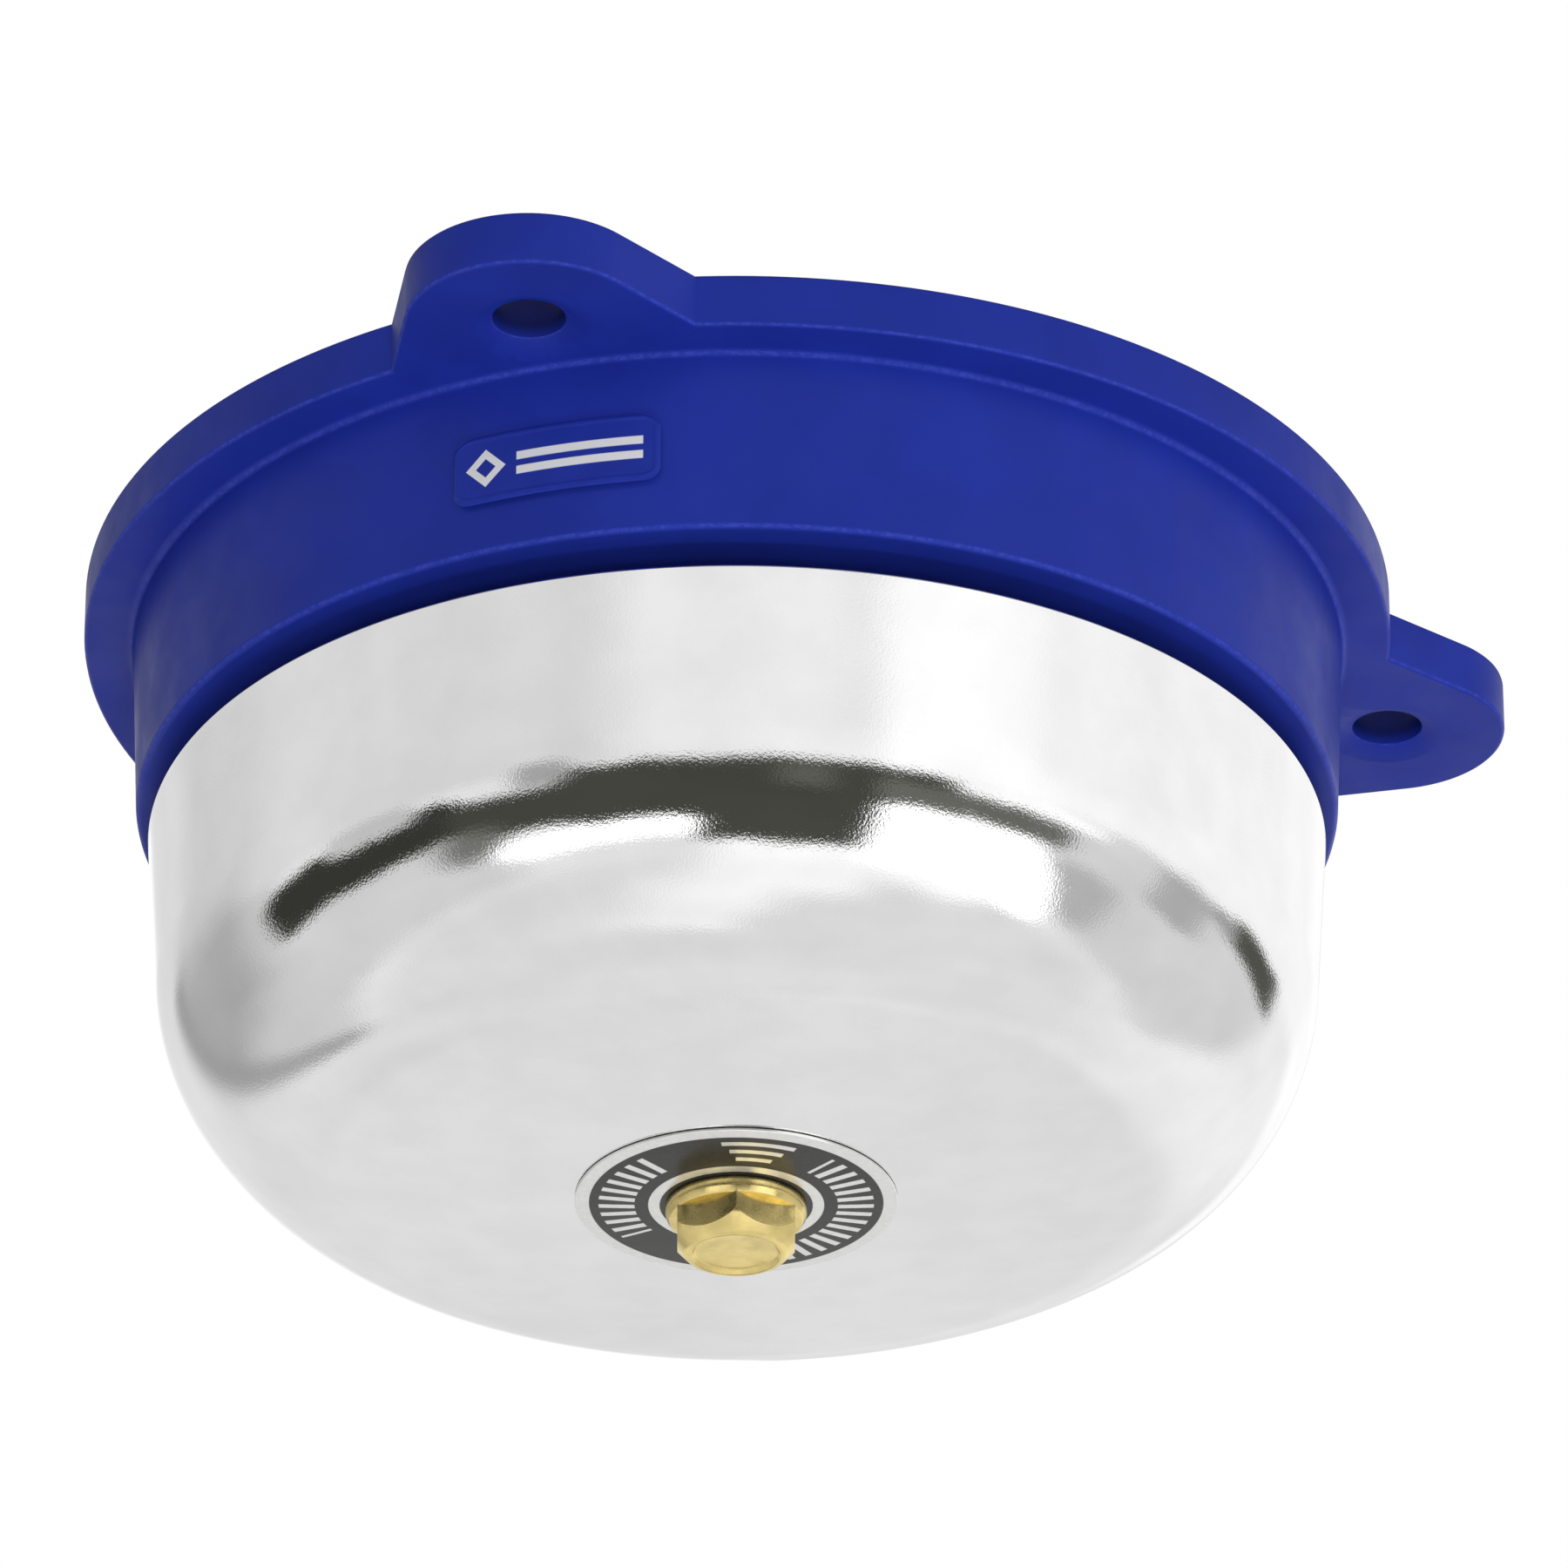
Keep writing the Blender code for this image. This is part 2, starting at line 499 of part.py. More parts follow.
def make_base_housing():
    """Flange, drum and deck in one moulding, with lugs, screw bosses, holes and the cover's recess."""
    fillet_centre = (DRUM_ROOT_RADIUS + ROOT_FILLET, FLANGE_THICKNESS + ROOT_FILLET)
    root = arc(fillet_centre, ROOT_FILLET, -math.pi / 2, -math.pi, 2)
    profile = [
        (FLANGE_RADIUS, 0.0),
        (FLANGE_RADIUS, FLANGE_THICKNESS),
        *root,
        (DRUM_FRONT_RADIUS, DRUM_DEPTH - DECK_EDGE_FILLET),
        (DRUM_FRONT_RADIUS - DECK_EDGE_FILLET, DRUM_DEPTH),
        (POST_HOLE_RADIUS, DRUM_DEPTH),
        (POST_HOLE_RADIUS, DECK_BACK),
        (CAVITY_RADIUS, DECK_BACK),
        (CAVITY_RADIUS, COVER_SEAT_DEPTH),
        (COVER_RECESS_RADIUS, COVER_SEAT_DEPTH),
        (COVER_RECESS_RADIUS, 0.0),
    ]
    housing = place(turned("base_housing", profile, ROUND_STEPS), BLUE_PLASTIC)
    additions = []
    holes = []
    for index, angle in enumerate(LUG_ANGLES):
        additions.append(extruded(f"lug_{index}", [lug_outline(angle)], 0.0, FLANGE_THICKNESS))
        x, y = on_circle(LUG_PITCH_RADIUS, angle)
        sink_slope = (COUNTERSINK_RADIUS - LUG_HOLE_RADIUS) / COUNTERSINK_DEPTH
        hole_profile = [
            (0.0, -GAP),
            (LUG_HOLE_RADIUS, -GAP),
            (LUG_HOLE_RADIUS, FLANGE_THICKNESS - COUNTERSINK_DEPTH),
            (COUNTERSINK_RADIUS + sink_slope * GAP, FLANGE_THICKNESS + GAP),
            (0.0, FLANGE_THICKNESS + GAP),
        ]
        holes.append(turned_hole(f"lug_hole_{index}", hole_profile, x, y))
    for index, angle in enumerate(COVER_BOSS_ANGLES):
        x, y = on_circle(COVER_BOSS_CIRCLE, angle)
        boss_start = (x, y, COVER_SEAT_DEPTH + BOSS_RELIEF)
        boss_end = (x, y, DECK_BACK + DECK_THICKNESS / 2)
        additions.append(rod(f"cover_boss_{index}", boss_start, boss_end, COVER_BOSS_RADIUS, SMALL_STEPS))
        pilot_end = (x, y, COVER_SCREW_LENGTH + GAP)
        holes.append(rod(f"cover_pilot_{index}", (x, y, 0.0), pilot_end, SCREW_HOLE_RADIUS, SMALL_STEPS))
    for index, angle in enumerate(PLATE_SCREW_ANGLES):
        x, y = on_circle(PLATE_SCREW_CIRCLE, angle)
        boss_start = (x, y, DECK_BACK - PLATE_BOSS_HEIGHT)
        boss_end = (x, y, DECK_BACK + DECK_THICKNESS / 2)
        additions.append(rod(f"plate_boss_{index}", boss_start, boss_end, PLATE_BOSS_RADIUS, SMALL_STEPS))
        pilot_start = (x, y, PLATE_FRONT - PLATE_SCREW_LENGTH)
        pilot_end = (x, y, DRUM_DEPTH + GAP)
        holes.append(rod(f"plate_pilot_{index}", pilot_start, pilot_end, SCREW_HOLE_RADIUS, SMALL_STEPS))
    block_pilot = ((0.0, BLOCK_CENTRE_Y, DECK_BACK - GAP), (0.0, BLOCK_CENTRE_Y, DRUM_DEPTH - 2 * GAP))
    holes.append(rod("block_pilot", *block_pilot, SCREW_HOLE_RADIUS, SMALL_STEPS))
    lead_hole = ((*LEAD_HOLE, DECK_BACK - GAP), (*LEAD_HOLE, DRUM_DEPTH + GAP))
    holes.append(rod("lead_hole", *lead_hole, LEAD_HOLE_RADIUS, SMALL_STEPS))
    inside = on_circle(CAVITY_RADIUS - DRUM_WALL, INLET_ANGLE)
    outside = on_circle(FLANGE_RADIUS, INLET_ANGLE)
    inlet = ((*inside, INLET_DEPTH), (*outside, INLET_DEPTH))
    holes.append(rod("inlet_hole", *inlet, INLET_HOLE_RADIUS, SMALL_STEPS))
    combine(housing, additions, "UNION")
    combine(housing, holes, "DIFFERENCE")


def make_back_cover():
    """A fibre board that closes the rear cavity, held by three countersunk screws."""
    radius = COVER_RECESS_RADIUS - GAP
    profile = [(0.0, 0.0), (radius, 0.0), (radius, COVER_THICKNESS), (0.0, COVER_THICKNESS)]
    cover = place(turned("back_cover", profile, ROUND_STEPS), BLACK_BOARD)
    holes = []
    for index, angle in enumerate(COVER_BOSS_ANGLES):
        x, y = on_circle(COVER_BOSS_CIRCLE, angle)
        head_height = SMALL_SCREW_HEAD_RADIUS - SMALL_SCREW_SHANK_RADIUS
        hole_profile = [
            (0.0, -GAP),
            (SMALL_SCREW_HEAD_RADIUS + 2 * GAP, -GAP),
            (SCREW_HOLE_RADIUS, head_height),
            (SCREW_HOLE_RADIUS, COVER_THICKNESS + GAP),
            (0.0, COVER_THICKNESS + GAP),
        ]
        holes.append(turned_hole(f"cover_hole_{index}", hole_profile, x, y))
        screw_profile = [
            (0.0, 0.0),
            (SMALL_SCREW_HEAD_RADIUS, 0.0),
            (SMALL_SCREW_SHANK_RADIUS, head_height),
            (SMALL_SCREW_SHANK_RADIUS, COVER_SCREW_LENGTH),
            (0.0, COVER_SCREW_LENGTH),
        ]
        screw = turned(f"cover_screw_{index + 1}", screw_profile, SMALL_STEPS)
        place(screw, ZINC_STEEL, (x, y, 0.0))
    combine(cover, holes, "DIFFERENCE")


def make_mechanism_plate():
    """The steel plate on the deck that carries the post and the solenoid, and its three screws."""
    outlines = [circle((0.0, 0.0), PLATE_RADIUS, ROUND_STEPS)]
    outlines.append(circle((0.0, 0.0), POST_HOLE_RADIUS, SMALL_STEPS))
    outlines.append(circle(LEAD_HOLE, LEAD_HOLE_RADIUS, SMALL_STEPS))
    for angle in PLATE_SCREW_ANGLES:
        outlines.append(circle(on_circle(PLATE_SCREW_CIRCLE, angle), SCREW_HOLE_RADIUS, SMALL_STEPS))
    for x, y in yoke_screw_places():
        outlines.append(circle((x, y), SCREW_HOLE_RADIUS, SMALL_STEPS))
    place(extruded("mechanism_plate", outlines, PLATE_BACK, PLATE_FRONT), ZINC_STEEL)
    for index, angle in enumerate(PLATE_SCREW_ANGLES):
        x, y = on_circle(PLATE_SCREW_CIRCLE, angle)
        pan_screw(f"plate_screw_{index + 1}", x, y, PLATE_FRONT + GAP, -1, PLATE_SCREW_LENGTH)


def make_gong_post():
    """The turned pillar that carries the gong, with the washer and nut behind the deck."""
    stem_end = DECK_BACK - POST_STEM_LENGTH
    bore_end = POST_FRONT - POST_BORE_DEPTH
    profile = [
        (0.0, stem_end),
        (POST_STEM_RADIUS, stem_end),
        (POST_STEM_RADIUS, POST_BACK),
        (POST_RADIUS, POST_BACK),
        (POST_RADIUS, POST_FRONT),
        (BOLT_HOLE_RADIUS, POST_FRONT),
        (BOLT_HOLE_RADIUS, bore_end),
        (0.0, bore_end),
    ]
    place(turned("gong_post", profile, MEDIUM_STEPS), ZINC_STEEL)
    washer_front = DECK_BACK - GAP
    washer_back = washer_front - POST_WASHER_THICKNESS
    washer_rings = [
        circle((0.0, 0.0), POST_WASHER_RADIUS, MEDIUM_STEPS),
        circle((0.0, 0.0), POST_HOLE_RADIUS, MEDIUM_STEPS),
    ]
    place(extruded("post_washer", washer_rings, washer_back, washer_front), ZINC_STEEL)
    nut_front = washer_back - GAP
    nut_rings = [hexagon(POST_NUT_ACROSS_FLATS), circle((0.0, 0.0), POST_HOLE_RADIUS, MEDIUM_STEPS)]
    place(extruded("post_nut", nut_rings, nut_front - POST_NUT_THICKNESS, nut_front), ZINC_STEEL)
    seat_rings = [
        circle((0.0, 0.0), SEAT_WASHER_RADIUS, MEDIUM_STEPS),
        circle((0.0, 0.0), BOLT_HOLE_RADIUS, MEDIUM_STEPS),
    ]
    place(extruded("gong_seat_washer", seat_rings, SEAT_WASHER_BACK, SEAT_WASHER_FRONT), RED_FIBRE)


def make_gong():
    """The pressed gong with its round printed label and the brass bolt that holds them."""
    outer = gong_skin(0.0)
    inner = gong_skin(GONG_THICKNESS)
    place(turned("gong", outer + inner[::-1], ROUND_STEPS), PLATED_GONG)
    label_rings = [
        circle((0.0, 0.0), LABEL_RADIUS, ROUND_STEPS),
        circle((0.0, 0.0), BOLT_HOLE_RADIUS, SMALL_STEPS),
    ]
    place(extruded("gong_label", label_rings, LABEL_BACK, LABEL_FRONT), PRINTED_LABEL)
    flange_front = BOLT_SEAT + BOLT_FLANGE_THICKNESS
    thread_end = BOLT_SEAT - BOLT_THREAD_LENGTH
    profile = [
        (0.0, thread_end),
        (BOLT_THREAD_RADIUS, thread_end),
        (BOLT_THREAD_RADIUS, BOLT_SEAT),
        (BOLT_FLANGE_RADIUS, BOLT_SEAT),
        (BOLT_FLANGE_RADIUS, BOLT_SEAT + BOLT_FLANGE_THICKNESS / 2),
        (BOLT_FLANGE_RADIUS - BOLT_FLANGE_THICKNESS / 2, flange_front),
        (0.0, flange_front),
    ]
    bolt = place(turned("gong_bolt", profile, MEDIUM_STEPS), BRASS)
    hex_back = BOLT_SEAT + BOLT_FLANGE_THICKNESS / 2
    hex_front = flange_front + BOLT_HEX_HEIGHT
    head = extruded("bolt_hexagon", [hexagon(BOLT_HEX_ACROSS_FLATS)], hex_back, hex_front)
    combine(bolt, [head], "UNION")


def yoke_screw_places():
    """Where the yoke's two ears are screwed down, on opposite sides of the coil."""
    reach = YOKE_WIDTH / 2 + YOKE_EAR_LENGTH / 2
    return [(YOKE_EAR_X, COIL_AXIS_Y - reach), (-YOKE_EAR_X, COIL_AXIS_Y + reach)]


def make_solenoid():
    """The steel yoke, and between its legs the bobbin, the winding and its tape."""
    half = YOKE_LENGTH / 2
    low_y, high_y = COIL_AXIS_Y - YOKE_WIDTH / 2, COIL_AXIS_Y + YOKE_WIDTH / 2
    leg_front = YOKE_BACK + YOKE_HEIGHT
    yoke = place(block("solenoid_yoke", (-half, low_y, YOKE_BACK), (half, high_y, leg_front)), ZINC_STEEL)
    window_front = leg_front + YOKE_SHEET
    holes = [
        block(
            "yoke_window",
            (-half + YOKE_SHEET, low_y - YOKE_SHEET, YOKE_BASE_FRONT),
            (half - YOKE_SHEET, high_y + YOKE_SHEET, window_front),
        )
    ]
    bore_ends = [(side * (half + YOKE_SHEET), COIL_AXIS_Y, COIL_AXIS_DEPTH) for side in (-1, 1)]
    holes.append(rod("yoke_bore", *bore_ends, YOKE_HOLE_RADIUS, MEDIUM_STEPS))
    ears = []
    for index, (x, y) in enumerate(yoke_screw_places()):
        ear_half = YOKE_EAR_WIDTH / 2
        far_y = y + math.copysign(YOKE_EAR_LENGTH / 2, y - COIL_AXIS_Y)
        near_y = COIL_AXIS_Y
        low, high = min(near_y, far_y), max(near_y, far_y)
        corners = ((x - ear_half, low, YOKE_BACK), (x + ear_half, high, YOKE_BASE_FRONT))
        ears.append(block(f"yoke_ear_{index}", *corners))
        ends = ((x, y, YOKE_BACK - GAP), (x, y, YOKE_BASE_FRONT + GAP))
        holes.append(rod(f"yoke_ear_hole_{index}", *ends, SCREW_HOLE_RADIUS, SMALL_STEPS))
        pan_screw(f"yoke_screw_{index + 1}", x, y, YOKE_BASE_FRONT + GAP, -1, YOKE_SCREW_LENGTH)
    combine(yoke, ears, "UNION")
    combine(yoke, holes, "DIFFERENCE")

    flange_face = BOBBIN_END_X - BOBBIN_FLANGE
    spool = [
        (BOBBIN_FLANGE_RADIUS, -BOBBIN_END_X),
        (BOBBIN_FLANGE_RADIUS, -flange_face),
        (BOBBIN_BARREL_RADIUS, -flange_face),
        (BOBBIN_BARREL_RADIUS, flange_face),
        (BOBBIN_FLANGE_RADIUS, flange_face),
        (BOBBIN_FLANGE_RADIUS, BOBBIN_END_X),
        (BOBBIN_BORE_RADIUS, BOBBIN_END_X),
        (BOBBIN_BORE_RADIUS, -BOBBIN_END_X),
    ]
    along_coil("coil_bobbin", spool, WHITE_NYLON)
    along_coil("coil_winding", ring(WINDING_INNER_RADIUS, WINDING_OUTER_RADIUS, WINDING_END_X), COPPER_WIRE)
    along_coil("coil_tape", ring(TAPE_INNER_RADIUS, TAPE_OUTER_RADIUS, WINDING_END_X), YELLOW_TAPE)


def ring(inner, outer, half_length):
    """The section of a plain sleeve about its own middle."""
    return [(outer, -half_length), (outer, half_length), (inner, half_length), (inner, -half_length)]


def along_coil(name, profile, material, steps=MEDIUM_STEPS):
    """A turned body on the coil's axis, whose profile runs along +X from the middle of the coil."""
    on_axis = (0.0, COIL_AXIS_Y, -COIL_AXIS_DEPTH)
    return place(turned(name, profile, steps), material, on_axis, (0.0, -math.pi / 2, 0.0))


def shifted(profile, distance):
    """The same section further along +X."""
    return [(radius, x + distance) for radius, x in profile]


def make_striker():
    """The plunger, rod and head that slide along +X to strike the gong, with the clip and the retainer."""
    socket_end = PLUNGER_FRONT_X - ROD_SOCKET_DEPTH
    plunger = [
        (0.0, PLUNGER_REAR_X),
        (PLUNGER_RADIUS, PLUNGER_REAR_X),
        (PLUNGER_RADIUS, PLUNGER_FRONT_X),
        (ROD_HOLE_RADIUS, PLUNGER_FRONT_X),
        (ROD_HOLE_RADIUS, socket_end),
        (0.0, socket_end),
    ]
    along_coil("plunger", plunger, BARE_IRON)

    reach = gong_inner_radius(COIL_AXIS_DEPTH) - HEAD_RADIUS - STRIKE_CLEARANCE
    dome_centre = math.sqrt(reach**2 - COIL_AXIS_Y**2) - STRIKER_TRAVEL
    head_back = dome_centre + HEAD_RADIUS - HEAD_LENGTH
    head_socket_end = head_back + HEAD_SOCKET_DEPTH
    dome = [(radius, x) for x, radius in arc((dome_centre, 0.0), HEAD_RADIUS, math.pi / 2, 0.0)][:-1]
    head = [
        (ROD_HOLE_RADIUS, head_back),
        (HEAD_RADIUS, head_back),
        *dome,
        (0.0, dome_centre + HEAD_RADIUS),
        (0.0, head_socket_end),
        (ROD_HOLE_RADIUS, head_socket_end),
    ]
    along_coil("striker_head", on_axis_first(head), ZINC_STEEL, SMALL_STEPS)

    rod_start, rod_end = socket_end + GAP, head_socket_end - GAP
    striker_rod = [(0.0, rod_start), (ROD_RADIUS, rod_start), (ROD_RADIUS, rod_end), (0.0, rod_end)]
    along_coil("striker_rod", striker_rod, BRASS, SMALL_STEPS)

    half_clip = CLIP_THICKNESS / 2
    clip = shifted(ring(ROD_HOLE_RADIUS, CLIP_RADIUS, half_clip), CLIP_BACK_X + half_clip)
    along_coil("striker_clip", clip, SPRING_STEEL, SMALL_STEPS)

    half_retainer = RETAINER_THICKNESS / 2
    retainer_ring = ring(PLUNGER_RADIUS + GAP, RETAINER_RADIUS, half_retainer)
    along_coil("spring_retainer", shifted(retainer_ring, RETAINER_REAR_X + half_retainer), ZINC_STEEL)


def on_axis_first(profile):
    """The same closed section as an open run that starts and ends on the axis."""
    first = next(index for index, point in enumerate(profile) if point[0] == 0.0)
    second = first + 1
    return profile[second:] + profile[:second]


def make_spring_and_buffer():
    """The spring that pushes the striker back, and the rubber washer it comes to rest on."""
    half_buffer = BUFFER_THICKNESS / 2
    buffer_ring = ring(ROD_HOLE_RADIUS, BUFFER_RADIUS, half_buffer)
    along_coil("buffer_washer", shifted(buffer_ring, BUFFER_BACK_X + half_buffer), BLACK_RUBBER)

    start = SPRING_REAR_X + SPRING_WIRE_RADIUS
    end = SPRING_FRONT_X - SPRING_WIRE_RADIUS
    steps = SPRING_TURNS * SPRING_STEPS_PER_TURN
    points = []
    for step in range(steps + 1):
        share = step / steps
        side, up = on_circle(SPRING_COIL_RADIUS, share * SPRING_TURNS * math.tau)
        points.append((start + (end - start) * share, COIL_AXIS_Y + side, -COIL_AXIS_DEPTH + up))
    place(wire("return_spring", points, SPRING_WIRE_RADIUS), SPRING_STEEL)


def make_terminal_block():
    """A two-way block on the back of the deck, with its brass barrels, clamp screws and fixing screw."""
    half_x, half_y = BLOCK_SIZE[0] / 2, BLOCK_SIZE[1] / 2
    low = (-half_x, BLOCK_CENTRE_Y - half_y, BLOCK_REAR_FACE)
    high = (half_x, BLOCK_CENTRE_Y + half_y, BLOCK_BACK)
    body = place(block("terminal_block", low, high), WHITE_NYLON)
    pocket = [size + 2 * BARREL_CLEARANCE for size in BARREL_SIZE]
    holes = []
    for index, x in enumerate((-TERMINAL_SPACING / 2, TERMINAL_SPACING / 2)):
        barrel_half = [size / 2 for size in BARREL_SIZE]
        barrel_low = (x - barrel_half[0], BLOCK_CENTRE_Y - barrel_half[1], BARREL_DEPTH - barrel_half[2])
        barrel_high = (x + barrel_half[0], BLOCK_CENTRE_Y + barrel_half[1], BARREL_DEPTH + barrel_half[2])
        barrel = place(block(f"terminal_barrel_{index + 1}", barrel_low, barrel_high), BRASS)
        pocket_low = (x - pocket[0] / 2, low[1] - GAP, BARREL_DEPTH - pocket[2] / 2)
        pocket_high = (x + pocket[0] / 2, high[1] + GAP, BARREL_DEPTH + pocket[2] / 2)
        holes.append(block(f"barrel_pocket_{index}", pocket_low, pocket_high))
        bore_ends = ((x, low[1], BARREL_DEPTH), (x, high[1], BARREL_DEPTH))
        barrel_holes = [rod(f"barrel_bore_{index}", *bore_ends, BARREL_BORE_RADIUS, SMALL_STEPS)]
        for side in (-1, 1):
            number = 2 * index + (side + 3) // 2
            y = BLOCK_CENTRE_Y + side * TERMINAL_SCREW_SPACING / 2
            well_start, well_end = (x, y, BLOCK_REAR_FACE - GAP), (x, y, BARREL_DEPTH)
            well = (well_start, well_end, TERMINAL_WELL_RADIUS, SMALL_STEPS)
            holes.append(rod(f"screw_well_{number}", *well))
            barrel_holes.append(
                rod(f"barrel_tap_{number}", well_start, well_end, TERMINAL_SCREW_RADIUS + GAP, SMALL_STEPS)
            )
            head_seat = barrel_low[2] - GAP
            tip = BARREL_DEPTH - BARREL_BORE_RADIUS / 2
            screw_profile = [
                (0.0, head_seat - TERMINAL_HEAD_HEIGHT),
                (TERMINAL_HEAD_RADIUS, head_seat - TERMINAL_HEAD_HEIGHT),
                (TERMINAL_HEAD_RADIUS, head_seat),
                (TERMINAL_SCREW_RADIUS, head_seat),
                (TERMINAL_SCREW_RADIUS, tip),
                (0.0, tip),
            ]
            place(turned(f"terminal_screw_{number}", screw_profile, SMALL_STEPS), ZINC_STEEL, (x, y, 0.0))
        combine(barrel, barrel_holes, "DIFFERENCE")
    fixing = ((0.0, BLOCK_CENTRE_Y, BLOCK_REAR_FACE - GAP), (0.0, BLOCK_CENTRE_Y, BLOCK_BACK + GAP))
    holes.append(rod("block_fixing_hole", *fixing, SCREW_HOLE_RADIUS, SMALL_STEPS))
    combine(body, holes, "DIFFERENCE")
    pan_screw("terminal_block_screw", 0.0, BLOCK_CENTRE_Y, BLOCK_REAR_FACE - GAP, 1, BLOCK_SCREW_LENGTH)


def make_coil_leads():
    """Two sleeved leads from the winding, through the deck, to the terminal barrels."""
    coil_side = COIL_AXIS_Y - TAPE_OUTER_RADIUS - GAP
    barrel_face = BLOCK_CENTRE_Y + BLOCK_SIZE[1] / 2
    for index, (start_x, from_axis) in enumerate(LEAD_STARTS):
        start_depth = COIL_AXIS_DEPTH + from_axis
        side = -1 if index == 0 else 1
        hole_x = LEAD_HOLE[0] + side * LEAD_SPREAD
        hole_y = LEAD_HOLE[1]
        barrel_x = side * TERMINAL_SPACING / 2
        route = [
            (start_x, coil_side, start_depth),
            (start_x, coil_side - 0.0025, start_depth),
            ((start_x + hole_x) / 2, coil_side - 0.0090, start_depth - 0.0035),
            (hole_x, hole_y + 0.0010, PLATE_FRONT + 0.0030),
            (hole_x, hole_y, DRUM_DEPTH),
            (hole_x, hole_y - 0.0005, DECK_BACK - 0.0015),
            ((hole_x + barrel_x) / 2, hole_y - 0.0055, BARREL_DEPTH + 0.0008 * (2 - side)),
            (barrel_x, barrel_face + 0.0025, BARREL_DEPTH),
            (barrel_x, BLOCK_CENTRE_Y + TERMINAL_SCREW_SPACING / 2 + 0.0019, BARREL_DEPTH),
        ]
        points = smooth_route([Vector((x, y, -depth)) for x, y, depth in route], LEAD_STEPS)
        material = RED_LEAD if index == 0 else BLACK_LEAD
        place(wire(f"coil_lead_{index + 1}", points, LEAD_RADIUS), material)


def make_cable_grommet():
    """The rubber grommet that lines the cable inlet in the drum's side."""
    wall_inside = math.sqrt(CAVITY_RADIUS**2 - GROMMET_FLANGE_RADIUS**2) - GAP
    wall_outside = DRUM_ROOT_RADIUS + GAP
    neck = INLET_HOLE_RADIUS - GAP
    inner_end = wall_inside - GROMMET_FLANGE_THICKNESS
    outer_end = wall_outside + GROMMET_FLANGE_THICKNESS
    profile = [
        (GROMMET_FLANGE_RADIUS, inner_end),
        (GROMMET_FLANGE_RADIUS, wall_inside),
        (neck, wall_inside),
        (neck, wall_outside),
        (GROMMET_FLANGE_RADIUS, wall_outside),
        (GROMMET_FLANGE_RADIUS, outer_end),
        (GROMMET_BORE_RADIUS, outer_end),
        (GROMMET_BORE_RADIUS, inner_end),
    ]
    grommet = turned("cable_grommet", profile, SMALL_STEPS)
    place(grommet, BLACK_RUBBER, (0.0, 0.0, -INLET_DEPTH), (0.0, -math.pi / 2, INLET_ANGLE))


def make_side_badge():
    """A thin blank plate, bent to the drum."""
    slope = (DRUM_ROOT_RADIUS - DRUM_FRONT_RADIUS) / (DRUM_DEPTH - FLANGE_THICKNESS)
    back = BADGE_DEPTH - BADGE_HEIGHT / 2
    front = BADGE_DEPTH + BADGE_HEIGHT / 2
    drum_radius = DRUM_ROOT_RADIUS - slope * (back - FLANGE_THICKNESS)
    inner = drum_radius + BADGE_GAP
    half_angle = BADGE_LENGTH / inner / 2
    start, end = BADGE_CENTRE_ANGLE - half_angle, BADGE_CENTRE_ANGLE + half_angle
    outer_arc = arc((0.0, 0.0), inner + BADGE_THICKNESS, start, end, 8)
    inner_arc = arc((0.0, 0.0), inner, end, start, 8)
    place(extruded("side_badge", [outer_arc + inner_arc], back, front), BADGE_BLUE)


make_base_housing()
make_back_cover()
make_mechanism_plate()
make_gong_post()
make_gong()
make_solenoid()
make_striker()
make_spring_and_buffer()
make_terminal_block()
make_coil_leads()
make_cable_grommet()
make_side_badge()
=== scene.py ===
"""The finished surfaces of an electric alarm bell: a moulded base with three lugs, a hanging polished gong
with its label and bolt, and the solenoid striker inside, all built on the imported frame.

The frame is in metres, +Z up, with the mounting face at z = 0. Sizes here are in millimetres, and a place
along the bell's own axis is given as its depth below the mounting face.
"""

import json
import logging
import math
from dataclasses import dataclass
from enum import Enum

import bmesh
import bpy
from mathutils import Matrix, Vector

